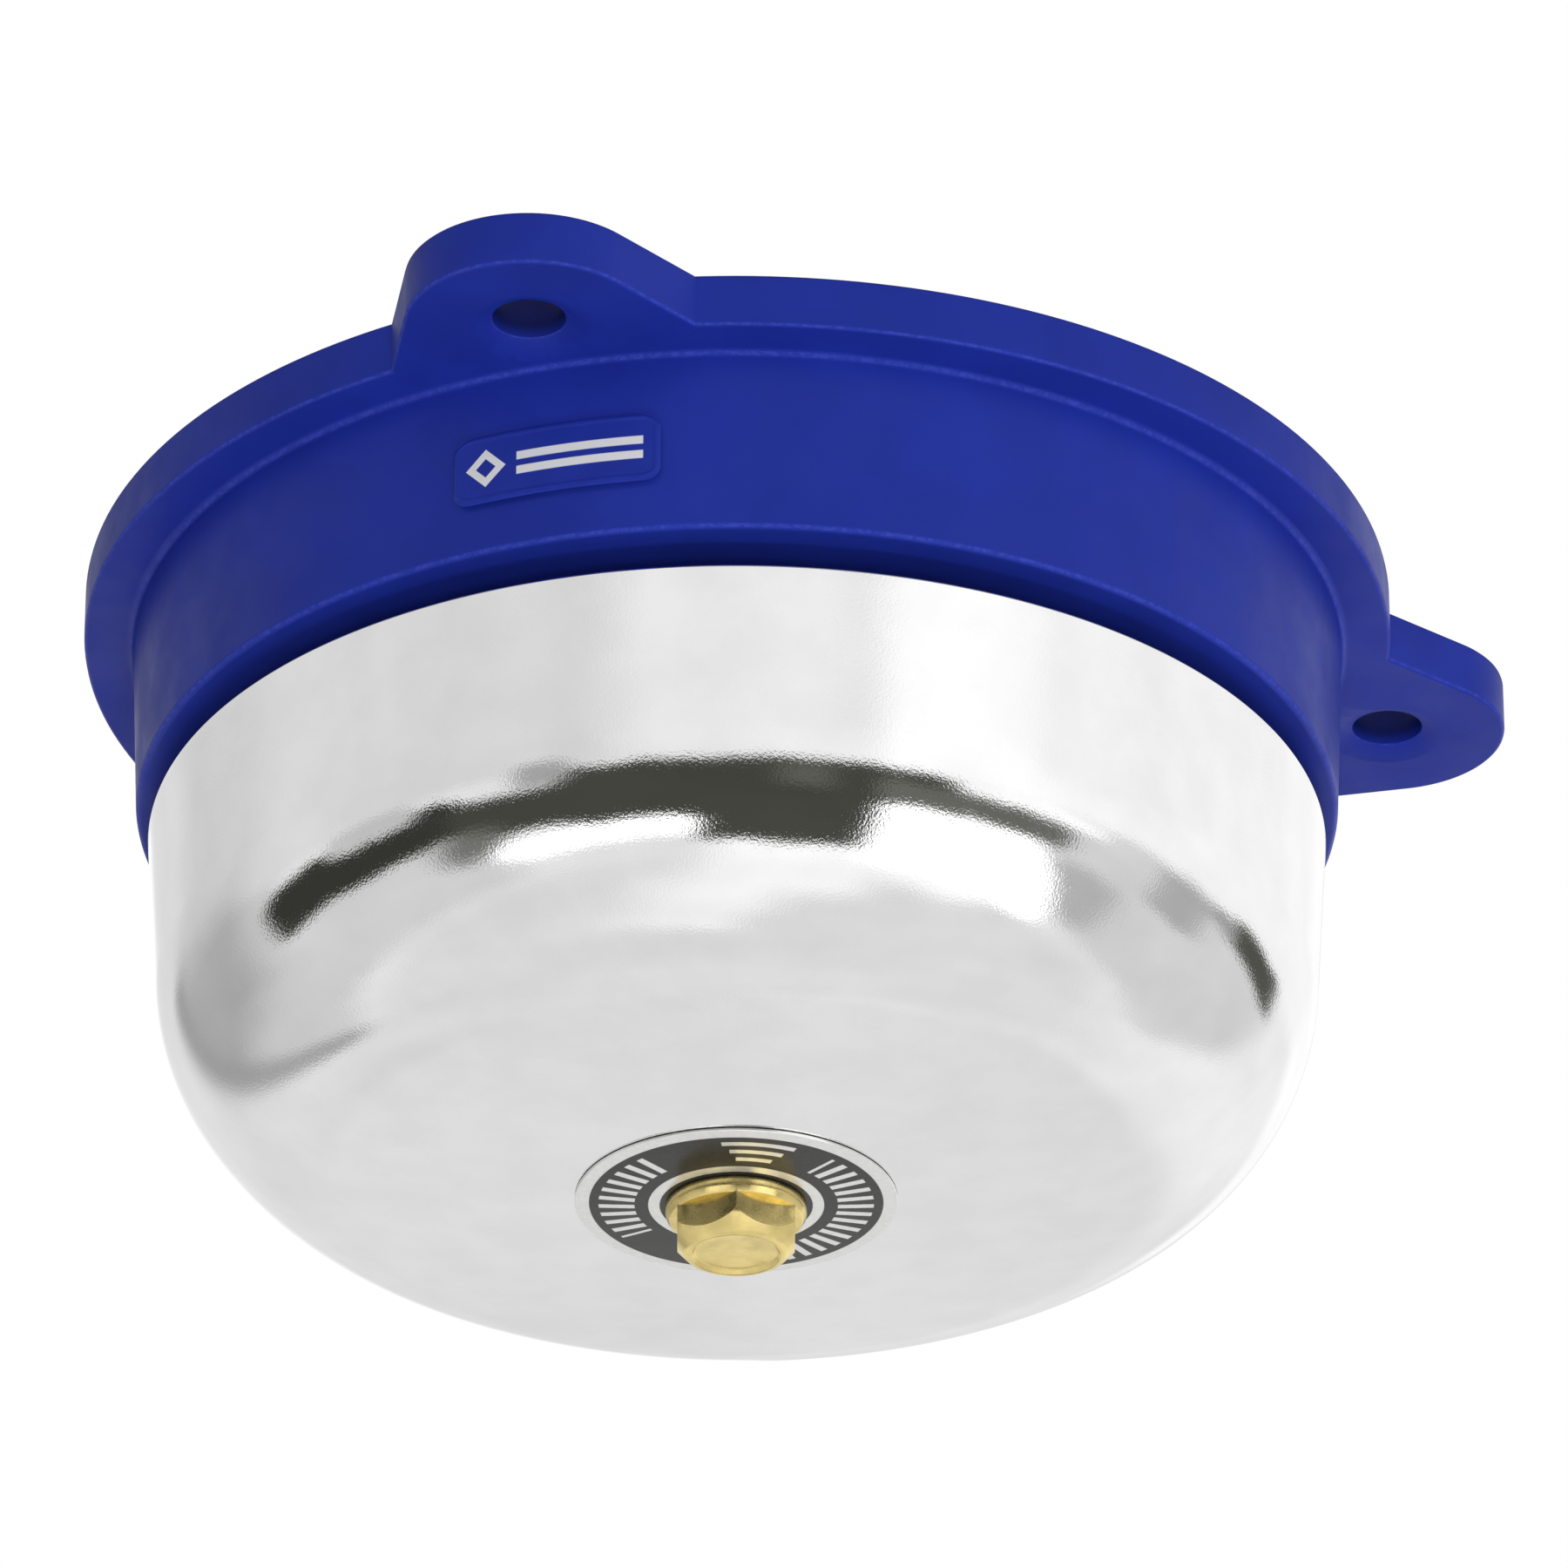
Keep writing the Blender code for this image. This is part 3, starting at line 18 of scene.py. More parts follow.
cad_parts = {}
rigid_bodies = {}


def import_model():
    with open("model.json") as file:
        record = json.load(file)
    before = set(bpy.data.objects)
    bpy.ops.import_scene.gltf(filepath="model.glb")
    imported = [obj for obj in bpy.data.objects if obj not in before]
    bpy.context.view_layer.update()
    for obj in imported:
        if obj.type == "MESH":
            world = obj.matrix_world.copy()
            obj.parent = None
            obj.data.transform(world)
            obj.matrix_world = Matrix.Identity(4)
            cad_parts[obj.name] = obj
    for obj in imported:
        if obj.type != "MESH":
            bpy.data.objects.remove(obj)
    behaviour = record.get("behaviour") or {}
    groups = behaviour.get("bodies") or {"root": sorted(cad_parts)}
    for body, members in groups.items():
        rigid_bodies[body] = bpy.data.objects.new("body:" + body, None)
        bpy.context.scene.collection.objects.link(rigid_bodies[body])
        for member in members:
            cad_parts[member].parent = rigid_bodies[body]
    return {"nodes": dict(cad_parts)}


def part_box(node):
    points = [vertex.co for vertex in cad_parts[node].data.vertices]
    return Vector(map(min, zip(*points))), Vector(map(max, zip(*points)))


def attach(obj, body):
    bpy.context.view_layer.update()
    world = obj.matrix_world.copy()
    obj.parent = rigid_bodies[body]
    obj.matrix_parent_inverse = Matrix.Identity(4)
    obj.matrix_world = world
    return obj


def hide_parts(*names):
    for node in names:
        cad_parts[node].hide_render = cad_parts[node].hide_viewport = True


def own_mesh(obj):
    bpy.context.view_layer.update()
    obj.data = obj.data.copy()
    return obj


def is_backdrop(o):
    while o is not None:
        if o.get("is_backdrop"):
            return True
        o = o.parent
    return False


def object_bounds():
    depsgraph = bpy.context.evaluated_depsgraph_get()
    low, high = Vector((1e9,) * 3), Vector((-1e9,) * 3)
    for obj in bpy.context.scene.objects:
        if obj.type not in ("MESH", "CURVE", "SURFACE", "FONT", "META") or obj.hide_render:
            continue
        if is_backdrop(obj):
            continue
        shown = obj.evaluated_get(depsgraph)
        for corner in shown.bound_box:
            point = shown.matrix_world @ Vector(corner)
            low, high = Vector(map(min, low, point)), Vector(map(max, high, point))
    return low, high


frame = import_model()
CAD_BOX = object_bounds()

log = logging.getLogger("alarm_bell")

MM = 0.001
SHARP_EDGE = math.radians(38)
OFF_TURN = math.radians(0.37)  # keeps the corners of tools off the corners of turned pieces

Profile = list[tuple[float, float]]
Corner = tuple[float, ...]
Value = float | tuple | bpy.types.NodeSocket


class Body(Enum):
    """The two bodies of the bell."""

    BASE = "base"
    STRIKER = "striker"


class Axis(Enum):
    """The lines that pieces are turned about."""

    BELL = "bell"
    COIL = "coil"
    INLET = "inlet"

    def matrix(self) -> Matrix:
        """The place of a piece turned about +Z, in metres, once it stands on this axis.

        Returns:
            The matrix that takes the piece's own space to the frame.
        """
        if self is Axis.BELL:
            return Matrix.Identity(4)
        node = "coil_winding" if self is Axis.COIL else "cable_grommet"
        low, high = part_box(node)
        middle = (low + high) / 2
        if self is Axis.COIL:
            turn = Matrix(((0, 0, -1), (1, 0, 0), (0, -1, 0)))
            return Matrix.Translation((0.0, middle.y, middle.z)) @ turn.to_4x4()
        turn = Matrix(((1, 0, 0), (0, 0, -1), (0, 1, 0)))
        return Matrix.Translation((middle.x, 0.0, middle.z)) @ turn.to_4x4()


# --------------------------------------------------------------------------------------------------
# Node trees
# --------------------------------------------------------------------------------------------------


class Graph:
    """Adds nodes to a tree and joins them up."""

    def __init__(self, tree: bpy.types.NodeTree) -> None:
        """Take the tree that the nodes go in."""
        self.tree = tree

    def add(self, kind: str, inputs: dict | None = None, **settings: object) -> bpy.types.Node:
        """Add a node.

        Args:
            kind: the node's type name.
            inputs: a value or a socket for each input, by name or number.
            settings: the node's own properties.

        Returns:
            The new node.
        """
        node = self.tree.nodes.new(kind)
        for key, value in settings.items():
            setattr(node, key, value)
        for key, value in (inputs or {}).items():
            self.feed(node.inputs[key], value)
        return node

    def feed(self, socket: bpy.types.NodeSocket, value: Value) -> None:
        """Link a socket to an input, or set the input to a plain value.

        Args:
            socket: the socket to feed.
            value: the output to link to it, or its plain value.
        """
        if isinstance(value, bpy.types.NodeSocket):
            self.tree.links.new(value, socket)
        else:
            socket.default_value = value

    def math(self, operation: str, *values: Value) -> bpy.types.NodeSocket:
        """The result of a Math node."""
        return self.add("ShaderNodeMath", dict(enumerate(values)), operation=operation).outputs[0]

    def spread(
        self,
        value: Value,
        low: float,
        high: float,
        to_low: Value = 0.0,
        to_high: Value = 1.0,
        smooth: bool = True,
    ) -> bpy.types.NodeSocket:
        """Carry one range of values to another, held at its ends.

        Args:
            value: the value to carry.
            low: the start of its range.
            high: the end of its range.
            to_low: what the start becomes.
            to_high: what the end becomes.
            smooth: whether the change eases in and out.

        Returns:
            The carried value.
        """
        kind = "SMOOTHSTEP" if smooth else "LINEAR"
        inputs = {0: value, 1: low, 2: high, 3: to_low, 4: to_high}
        return self.add("ShaderNodeMapRange", inputs, interpolation_type=kind).outputs[0]

    def band(self, value: Value, low: Value, high: Value, soft: Value) -> bpy.types.NodeSocket:
        """One between two values and nothing outside them, with soft edges.

        Args:
            value: the value to test.
            low: where the band starts.
            high: where it ends.
            soft: the width of each edge.

        Returns:
            The share of the band, from 0 to 1.
        """
        rise = self.math("DIVIDE", self.math("SUBTRACT", value, low), soft)
        fall = self.math("DIVIDE", self.math("SUBTRACT", high, value), soft)
        return self.spread(self.math("MINIMUM", rise, fall), -0.5, 0.5)

    def blend(self, share: Value, first: Value, second: Value) -> bpy.types.NodeSocket:
        """Mix two colours.

        Args:
            share: how much of the second, from 0 to 1.
            first: the colour at 0.
            second: the colour at 1.

        Returns:
            The mixed colour.
        """
        node = self.add("ShaderNodeMix", {0: share, 6: first, 7: second}, data_type="RGBA")
        return node.outputs[2]

    def noise(
        self, place: Value, size: float, detail: float = 3.0, rough: float = 0.5
    ) -> bpy.types.NodeSocket:
        """Noise with features of about this size in millimetres.

        Args:
            place: where to read it, in millimetres.
            size: the size of its features.
            detail: how many finer layers it has.
            rough: how strong the finer layers are.

        Returns:
            The noise, from 0 to 1 and mostly near a half.
        """
        inputs = {"Vector": place, "Scale": 1.0 / size, "Detail": detail, "Roughness": rough}
        return self.add("ShaderNodeTexNoise", inputs).outputs[0]


# --------------------------------------------------------------------------------------------------
# Finishes
# --------------------------------------------------------------------------------------------------

Color = tuple[float, float, float]


@dataclass(frozen=True)
class Finish:
    """A surface's colour and gloss, and the texture that breaks them up, with its sizes in millimetres."""

    name: str
    color: Color
    roughness: float
    metallic: float = 0.0
    specular: float = 0.5
    mottle: float = 0.10  # how far the colour wanders
    mottle_size: float = 5.0
    gloss_spread: float = 0.06  # how far the roughness wanders
    grain_height: float = 0.004
    grain_size: float = 0.35
    edge_highlight: float = 0.0  # painted highlight: how much lighter the rounded edges are painted
    coat: float = 0.0
    shaded_holes: tuple[tuple[float, float, float], ...] = ()  # round holes whose walls get painted shade: x, y and radius

    def hole_shade(self, graph: Graph, place: bpy.types.NodeSocket) -> Value:
        """Where the walls of the holes with painted shade are.

        Args:
            graph: the material's graph.
            place: the place on the piece in millimetres.

        Returns:
            One on the walls and nothing elsewhere.
        """
        parts = graph.add("ShaderNodeSeparateXYZ", {0: place}).outputs
        flat = graph.add("ShaderNodeCombineXYZ", {0: parts[0], 1: parts[1]}).outputs[0]
        deep = graph.spread(parts[2], -4.2, -2.6, 0.0, 1.0)
        share: Value = 0.0
        for x, y, radius in self.shaded_holes:
            centre = {0: flat, 1: (x, y, 0.0)}
            away = graph.add("ShaderNodeVectorMath", centre, operation="DISTANCE").outputs["Value"]
            share = graph.math("MAXIMUM", share, graph.band(away, -1.0, radius, 0.1))
        return graph.math("MULTIPLY", share, deep)

    def place(self, graph: Graph) -> bpy.types.NodeSocket:
        """The place on the piece in millimetres.

        Args:
            graph: the material's graph.

        Returns:
            The socket that gives the place.
        """
        coordinates = graph.add("ShaderNodeTexCoord").outputs["Object"]
        inputs = {"Vector": coordinates, "Scale": (1000.0, 1000.0, 1000.0)}
        return graph.add("ShaderNodeMapping", inputs).outputs[0]

    def tint(self, graph: Graph, place: bpy.types.NodeSocket) -> bpy.types.NodeSocket:
        """The colour over the surface.

        Args:
            graph: the material's graph.
            place: the place on the piece in millimetres.

        Returns:
            The colour.
        """
        wander = graph.noise(place, self.mottle_size, 4.0)
        deep = tuple(channel * (1.0 - self.mottle) for channel in self.color)
        light = tuple(min(1.0, channel * (1.0 + self.mottle)) for channel in self.color)
        color = graph.blend(graph.spread(wander, 0.3, 0.7), (*deep, 1.0), (*light, 1.0))
        # Painted shade: the walls of the listed holes are darkened to a third of the colour.
        if self.shaded_holes:
            hole_shade_color = tuple(channel * 0.3 for channel in self.color)
            color = graph.blend(self.hole_shade(graph, place), color, (*hole_shade_color, 1.0))
        # Painted highlight: the rounded edges, found by the slope of their normal, are lightened in noisy
        # patches.
        if self.edge_highlight:
            normal = graph.add("ShaderNodeNewGeometry").outputs["Normal"]
            slope = graph.math("ABSOLUTE", graph.add("ShaderNodeSeparateXYZ", {0: normal}).outputs[2])
            highlight_patches = graph.spread(graph.noise(place, 0.6, 4.0, 0.7), 0.40, 0.62, 0.15, self.edge_highlight)
            share = graph.math("MULTIPLY", graph.band(slope, 0.40, 0.84, 0.25), highlight_patches)
            highlight_color = tuple(min(1.0, channel * 1.5 + 0.035) for channel in self.color)
            color = graph.blend(share, color, (*highlight_color, 1.0))
        return color

    def metal(self, graph: Graph, place: bpy.types.NodeSocket) -> Value:
        """How much of a metal the surface is."""
        return self.metallic

    def gloss(self, graph: Graph, place: bpy.types.NodeSocket) -> bpy.types.NodeSocket:
        """The roughness over the surface.

        Args:
            graph: the material's graph.
            place: the place on the piece in millimetres.

        Returns:
            The socket that gives the roughness.
        """
        wander = graph.noise(place, self.mottle_size * 0.7, 5.0, 0.6)
        low, high = self.roughness - self.gloss_spread, self.roughness + self.gloss_spread
        return graph.spread(wander, 0.3, 0.7, max(low, 0.0), min(high, 1.0))

    def relief(self, graph: Graph, place: bpy.types.NodeSocket) -> bpy.types.NodeSocket:
        """The height over the surface, from 0 to 1 of the grain's height."""
        return graph.noise(place, self.grain_size, 2.0)

    def material(self) -> bpy.types.Material:
        """Build the material.

        Returns:
            The material, made once for each name.
        """
        made = bpy.data.materials.get(f"{self.name}_finish")
        if made:
            return made
        made = bpy.data.materials.new(f"{self.name}_finish")
        made.use_nodes = True
        made.diffuse_color = (*self.color, 1.0)
        graph = Graph(made.node_tree)
        shader = made.node_tree.nodes["Principled BSDF"]
        place = self.place(graph)
        graph.feed(shader.inputs["Metallic"], self.metal(graph, place))
        shader.inputs["Specular IOR Level"].default_value = self.specular
        shader.inputs["Coat Weight"].default_value = self.coat
        shader.inputs["Coat Roughness"].default_value = 0.12
        graph.feed(shader.inputs["Base Color"], self.tint(graph, place))
        graph.feed(shader.inputs["Roughness"], self.gloss(graph, place))
        bump = {"Height": self.relief(graph, place), "Strength": 1.0, "Distance": self.grain_height * MM}
        graph.feed(shader.inputs["Normal"], graph.add("ShaderNodeBump", bump).outputs[0])
        return made


@dataclass(frozen=True)
class TurnedMetal(Finish):
    """Metal whose fine marks run round an axis."""

    axis: Axis = Axis.BELL
    ring_size: float = 0.25
    ring_share: float = 0.5  # how much of the relief is rings

    def rings(self, graph: Graph, place: bpy.types.NodeSocket) -> bpy.types.NodeSocket:
        """Noise that is drawn out round the axis.

        Args:
            graph: the material's graph.
            place: the place on the piece in millimetres.

        Returns:
            The noise, from 0 to 1.
        """
        centre = self.axis.matrix().translation / MM
        ends = {0: place, 1: tuple(centre)}
        moved = graph.add("ShaderNodeVectorMath", ends, operation="SUBTRACT").outputs[0]
        parts = graph.add("ShaderNodeSeparateXYZ", {0: moved}).outputs
        order = {Axis.BELL: (0, 1, 2), Axis.COIL: (1, 2, 0), Axis.INLET: (0, 2, 1)}[self.axis]
        across, up, along = (parts[index] for index in order)
        squares = graph.math("ADD", graph.math("MULTIPLY", across, across), graph.math("MULTIPLY", up, up))
        radius = graph.math("SQRT", squares)
        angle = graph.math("MULTIPLY", graph.math("ARCTAN2", up, across), 0.12)
        spot = graph.add("ShaderNodeCombineXYZ", {0: radius, 1: angle, 2: along}).outputs[0]
        return graph.noise(spot, self.ring_size, 3.0, 0.6)

    def relief(self, graph: Graph, place: bpy.types.NodeSocket) -> bpy.types.NodeSocket:
        """Rings and an even grain together."""
        grain = graph.math("MULTIPLY", graph.noise(place, self.grain_size, 2.0), 1.0 - self.ring_share)
        return graph.math("ADD", graph.math("MULTIPLY", self.rings(graph, place), self.ring_share), grain)


@dataclass(frozen=True)
class WoundTape(Finish):
    """Tape laid round the coil in overlapping turns."""

    turn: float = 6.0

    def relief(self, graph: Graph, place: bpy.types.NodeSocket) -> bpy.types.NodeSocket:
        """Each turn of tape stands a little over the one before it.

        Args:
            graph: the material's graph.
            place: the place on the piece in millimetres.

        Returns:
            The socket that gives the height.
        """
        parts = graph.add("ShaderNodeSeparateXYZ", {0: place}).outputs
        slanted = graph.math("ADD", parts[0], graph.math("MULTIPLY", parts[1], 0.1))
        step = graph.math("FRACT", graph.math("DIVIDE", slanted, self.turn))
        return graph.math("ADD", step, graph.math("MULTIPLY", graph.noise(place, self.grain_size), 0.2))


@dataclass(frozen=True)
class PrintedLabel(Finish):
    """A silvered disc printed in black, with plain rings, arcs and ticks left bare."""

    ink: Color = (0.030, 0.030, 0.028)
    shine: float = 0.6
    bare_rings: tuple[tuple[float, float], ...] = ((6.4, 7.35), (12.3, 14.0))
    tick_span: tuple[float, float] = (8.5, 11.5)
    tick_pitch: float = 8.0
    tick_width: float = 0.66
    tick_arcs: tuple[tuple[float, float], ...] = ((-70.0, 46.0), (132.0, 214.0))
    sound_arcs: tuple[tuple[float, float], ...] = ((8.6, 10.0), (9.9, 13.0), (11.2, 16.0))

    def bare(self, graph: Graph, place: bpy.types.NodeSocket) -> bpy.types.NodeSocket:
        """Where the silver shows through the ink.

        Args:
            graph: the material's graph.
            place: the place on the piece in millimetres.

        Returns:
            One on bare silver and nothing on ink.
        """
        parts = graph.add("ShaderNodeSeparateXYZ", {0: place}).outputs
        flat = graph.add("ShaderNodeCombineXYZ", {0: parts[0], 1: parts[1]}).outputs[0]
        radius = graph.add("ShaderNodeVectorMath", {0: flat}, operation="LENGTH").outputs["Value"]
        upward = graph.math("MULTIPLY", parts[1], -1.0)
        turn = graph.math("DEGREES", graph.math("ARCTAN2", upward, parts[0]))
        around = graph.math("FLOORED_MODULO", graph.math("ADD", turn, 90.0), 360.0)
        share: Value = 0.0
        for low, high in self.bare_rings:
            share = graph.math("MAXIMUM", share, graph.band(radius, low, high, 0.08))
        aside = graph.math("RADIANS", graph.math("PINGPONG", around, self.tick_pitch / 2))
        tick = graph.band(graph.math("MULTIPLY", aside, radius), -1.0, self.tick_width / 2, 0.08)
        tick = graph.math("MULTIPLY", tick, graph.band(radius, *self.tick_span, 0.08))
        for low, high in self.tick_arcs:
            here = graph.band(around, low + 90.0, high + 90.0, 0.4)
            share = graph.math("MAXIMUM", share, graph.math("MULTIPLY", tick, here))
        for middle, half in self.sound_arcs:
            arc = graph.band(radius, middle - 0.3, middle + 0.3, 0.08)
            here = graph.band(turn, 80.0 - half, 80.0 + half, 0.4)
            share = graph.math("MAXIMUM", share, graph.math("MULTIPLY", arc, here))
        return share

    def tint(self, graph: Graph, place: bpy.types.NodeSocket) -> bpy.types.NodeSocket:
        """Silver where the disc is bare, and ink elsewhere.

        Args:
            graph: the material's graph.
            place: the place on the piece in millimetres.

        Returns:
            The socket that gives the colour.
        """
        wander = graph.spread(graph.noise(place, 0.5, 4.0), 0.3, 0.7)
        silver = graph.blend(wander, (*(0.93 * channel for channel in self.color), 1.0), (*self.color, 1.0))
        ink = graph.blend(wander, (*self.ink, 1.0), (*(1.25 * channel for channel in self.ink), 1.0))
        return graph.blend(self.bare(graph, place), ink, silver)

    def metal(self, graph: Graph, place: bpy.types.NodeSocket) -> Value:
        """Metal under a thin white lacquer where the silver is bare."""
        return graph.math("MULTIPLY", self.bare(graph, place), self.shine)

    def relief(self, graph: Graph, place: bpy.types.NodeSocket) -> bpy.types.NodeSocket:
        """The ink stands a little above the silver."""
        ink = graph.math("SUBTRACT", 1.0, self.bare(graph, place))
        return graph.math("ADD", ink, graph.math("MULTIPLY", graph.noise(place, self.grain_size), 0.4))


@dataclass(frozen=True)
class PrintedFilm(Finish):
    """A patch on the drum's side with a plain diamond and two stripes printed in white."""

    angle: float = -106.45
    radius: float = 51.6
    middle: float = 13.55
    ink: Color = (0.96, 0.97, 0.98)
    diamond: tuple[float, float] = (-5.9, 1.75)
    stripes: tuple[tuple[float, float], ...] = ((-1.0, -0.25), (0.35, 1.1))
    stripe_ends: tuple[float, float] = (-3.2, 7.4)

    def tint(self, graph: Graph, place: bpy.types.NodeSocket) -> bpy.types.NodeSocket:
        """The film's own colour with the white print over it.

        Args:
            graph: the material's graph.
            place: the place on the piece in millimetres.

        Returns:
            The socket that gives the colour.
        """
        parts = graph.add("ShaderNodeSeparateXYZ", {0: place}).outputs
        turn = graph.math("SUBTRACT", graph.math("ARCTAN2", parts[1], parts[0]), math.radians(self.angle))
        across = graph.math("MULTIPLY", turn, self.radius)
        down = graph.math("SUBTRACT", graph.math("MULTIPLY", parts[2], -1.0), self.middle)
        middle, half = self.diamond
        off = graph.math("ABSOLUTE", graph.math("SUBTRACT", across, middle))
        reach = graph.math("ADD", off, graph.math("ABSOLUTE", down))
        share = graph.band(reach, half * 0.5, half, 0.1)
        for low, high in self.stripes:
            stripe = graph.math(
                "MULTIPLY", graph.band(down, low, high, 0.1), graph.band(across, *self.stripe_ends, 0.1)
            )
            share = graph.math("MAXIMUM", share, stripe)
        return graph.blend(share, super().tint(graph, place), (*self.ink, 1.0))

    def relief(self, graph: Graph, place: bpy.types.NodeSocket) -> bpy.types.NodeSocket:
        """A fine even stipple."""
        coarse = graph.noise(place, self.grain_size * 4, 2.0)
        return graph.math("ADD", coarse, graph.noise(place, self.grain_size, 2.0))


class Slot(Enum):
    """The record's material slots, each with its finish."""

    # The blue moulding, with a painted highlight on its rounded edges and painted shade on the walls of its
    # three lug holes.
    BLUE_PLASTIC = Finish(
        "blue_plastic", (0.017, 0.038, 0.40), 0.44, specular=0.18, mottle=0.07, mottle_size=9.0,
        grain_height=0.007, grain_size=0.22, edge_highlight=0.6,
        shaded_holes=((-16.72, -55.54, 3.2), (56.46, 13.29, 3.2), (-39.74, 42.25, 3.2)),
    )
    BADGE_FILM = PrintedFilm(
        "badge_film", (0.017, 0.039, 0.40), 0.36, specular=0.18, mottle=0.05, mottle_size=3.0,
        grain_height=0.003, grain_size=0.10,
    )
    PLATED_GONG = TurnedMetal(
        "plated_gong", (0.90, 0.90, 0.90), 0.055, 1.0, mottle=0.022, mottle_size=5.0, gloss_spread=0.025,
        grain_height=0.0100, grain_size=0.20, ring_size=0.5, ring_share=0.12,
    )
    LABEL_PLATE = PrintedLabel(
        "label_plate", (0.98, 0.98, 0.97), 0.22, specular=0.35, mottle=0.03, grain_height=0.004,
        grain_size=0.2,
    )
    BRASS = TurnedMetal(
        "brass", (0.90, 0.72, 0.29), 0.27, 1.0, mottle=0.12, mottle_size=2.5, gloss_spread=0.08,
        grain_height=0.010, grain_size=0.25, ring_size=0.30, ring_share=0.55,
    )
    ZINC_STEEL = Finish(
        "zinc_steel", (0.60, 0.62, 0.64), 0.34, 1.0, mottle=0.10, mottle_size=1.6, gloss_spread=0.10,
        grain_height=0.004, grain_size=0.18,
    )
    BARE_IRON = TurnedMetal(
        "bare_iron", (0.40, 0.40, 0.41), 0.38, 1.0, mottle=0.12, mottle_size=2.0, gloss_spread=0.08,
        grain_height=0.006, grain_size=0.2, axis=Axis.COIL, ring_size=0.18, ring_share=0.7,
    )
    SPRING_STEEL = Finish(
        "spring_steel", (0.48, 0.48, 0.50), 0.26, 1.0, mottle=0.10, mottle_size=1.0, grain_height=0.003,
        grain_size=0.12,
    )
    FIBRE_BOARD = Finish(
        "fibre_board", (0.032, 0.030, 0.029), 0.68, mottle=0.35, mottle_size=0.8, gloss_spread=0.10,
        grain_height=0.020, grain_size=0.45,
    )
    RED_FIBRE = Finish(
        "red_fibre", (0.30, 0.07, 0.04), 0.72, mottle=0.25, mottle_size=0.6, grain_height=0.015,
        grain_size=0.3,
    )
    BLACK_RUBBER = Finish(
        "black_rubber", (0.020, 0.020, 0.021), 0.62, specular=0.4, mottle=0.25, mottle_size=2.0,
        grain_height=0.010, grain_size=0.25,
    )
    WHITE_NYLON = Finish(
        "white_nylon", (0.74, 0.73, 0.69), 0.42, mottle=0.05, mottle_size=3.0, grain_height=0.006,
        grain_size=0.3,
    )
    COPPER_WIRE = Finish(
        "copper_wire", (0.62, 0.22, 0.08), 0.28, 1.0, mottle=0.14, mottle_size=1.5, grain_height=0.002,
        grain_size=0.15, coat=0.4,
    )
    YELLOW_TAPE = WoundTape(
        "yellow_tape", (0.74, 0.55, 0.10), 0.40, mottle=0.07, mottle_size=4.0, grain_height=0.05,
        grain_size=0.4,
    )
    RED_SLEEVE = Finish(
        "red_sleeve", (0.45, 0.028, 0.018), 0.40, mottle=0.10, mottle_size=1.5, grain_height=0.006,
        grain_size=0.2,
    )
    BLACK_SLEEVE = Finish(
        "black_sleeve", (0.022, 0.022, 0.024), 0.42, mottle=0.20, mottle_size=1.5, grain_height=0.006,
        grain_size=0.2,
    )

    def material(self) -> bpy.types.Material:
        """The finish's material."""
        return self.value.material()


# --------------------------------------------------------------------------------------------------
# Shapes
# --------------------------------------------------------------------------------------------------


def rounded(corners: list[Corner], steps: int = 4) -> Profile:
    """Round the corners of a closed section.

    Args:
        corners: the section's corners, each with a third number if it is rounded, which is its radius.
        steps: how many runs each arc has.

    Returns:
        The points of the rounded section.
    """
    points = []
    for index, (across, along, *rest) in enumerate(corners):
        if not rest:
            points.append((across, along))
            continue
        here = Vector((across, along))
        back = (Vector(corners[index - 1][:2]) - here).normalized()
        ahead = (Vector(corners[(index + 1) % len(corners)][:2]) - here).normalized()
        half = back.angle(ahead) / 2
        centre = here + (back + ahead).normalized() * (rest[0] / math.sin(half))
        first = here + back * (rest[0] / math.tan(half)) - centre
        last = here + ahead * (rest[0] / math.tan(half)) - centre
        start = math.atan2(first.y, first.x)
        sweep = math.remainder(math.atan2(last.y, last.x) - start, math.tau)
        for step in range(steps + 1):
            angle = start + sweep * step / steps
            points.append((centre.x + rest[0] * math.cos(angle), centre.y + rest[0] * math.sin(angle)))
    return points


def arc(centre: Corner, radius: float, start: float, end: float, steps: int) -> Profile:
    """Points along an arc, both ends included.

    Args:
        centre: the arc's centre.
        radius: its radius.
        start: the angle of its first point, in radians.
        end: the angle of its last point.
        steps: how many runs it has.

    Returns:
        The points.
    """
    angles = [start + (end - start) * step / steps for step in range(steps + 1)]
    return [(centre[0] + radius * math.cos(angle), centre[1] + radius * math.sin(angle)) for angle in angles]


def hexagon(across_flats: float) -> Profile:
    """A hexagon with a corner to the front, which is turned a hair off it."""
    corner = across_flats / math.sqrt(3)
    return arc((0.0, 0.0), corner, OFF_TURN - math.pi / 2, OFF_TURN + 1.5 * math.pi, 6)[:-1]


def on_circle(radius: float, degrees: float) -> tuple[float, float]:
    """The point at this radius and angle about the bell's axis."""
    return radius * math.cos(math.radians(degrees)), radius * math.sin(math.radians(degrees))


def face_outward(shape: bmesh.types.BMesh) -> None:
    """Turn all the faces of a closed shape outwards.

    Args:
        shape: the closed shape.
    """
    bmesh.ops.recalc_face_normals(shape, faces=shape.faces)
    if shape.calc_volume(signed=True) < 0.0:
        bmesh.ops.reverse_faces(shape, faces=shape.faces)


def mesh_of(shape: bmesh.types.BMesh) -> bpy.types.Mesh:
    """Turn a worked shape into a mesh.

    Args:
        shape: the closed shape, in millimetres, which is used up.

    Returns:
        The mesh, in metres.
    """
    bmesh.ops.remove_doubles(shape, verts=shape.verts, dist=0.0005)
    face_outward(shape)
    bmesh.ops.scale(shape, vec=(MM, MM, MM), verts=shape.verts)
    mesh = bpy.data.meshes.new("shape")
    shape.to_mesh(mesh)
    shape.free()
    return mesh


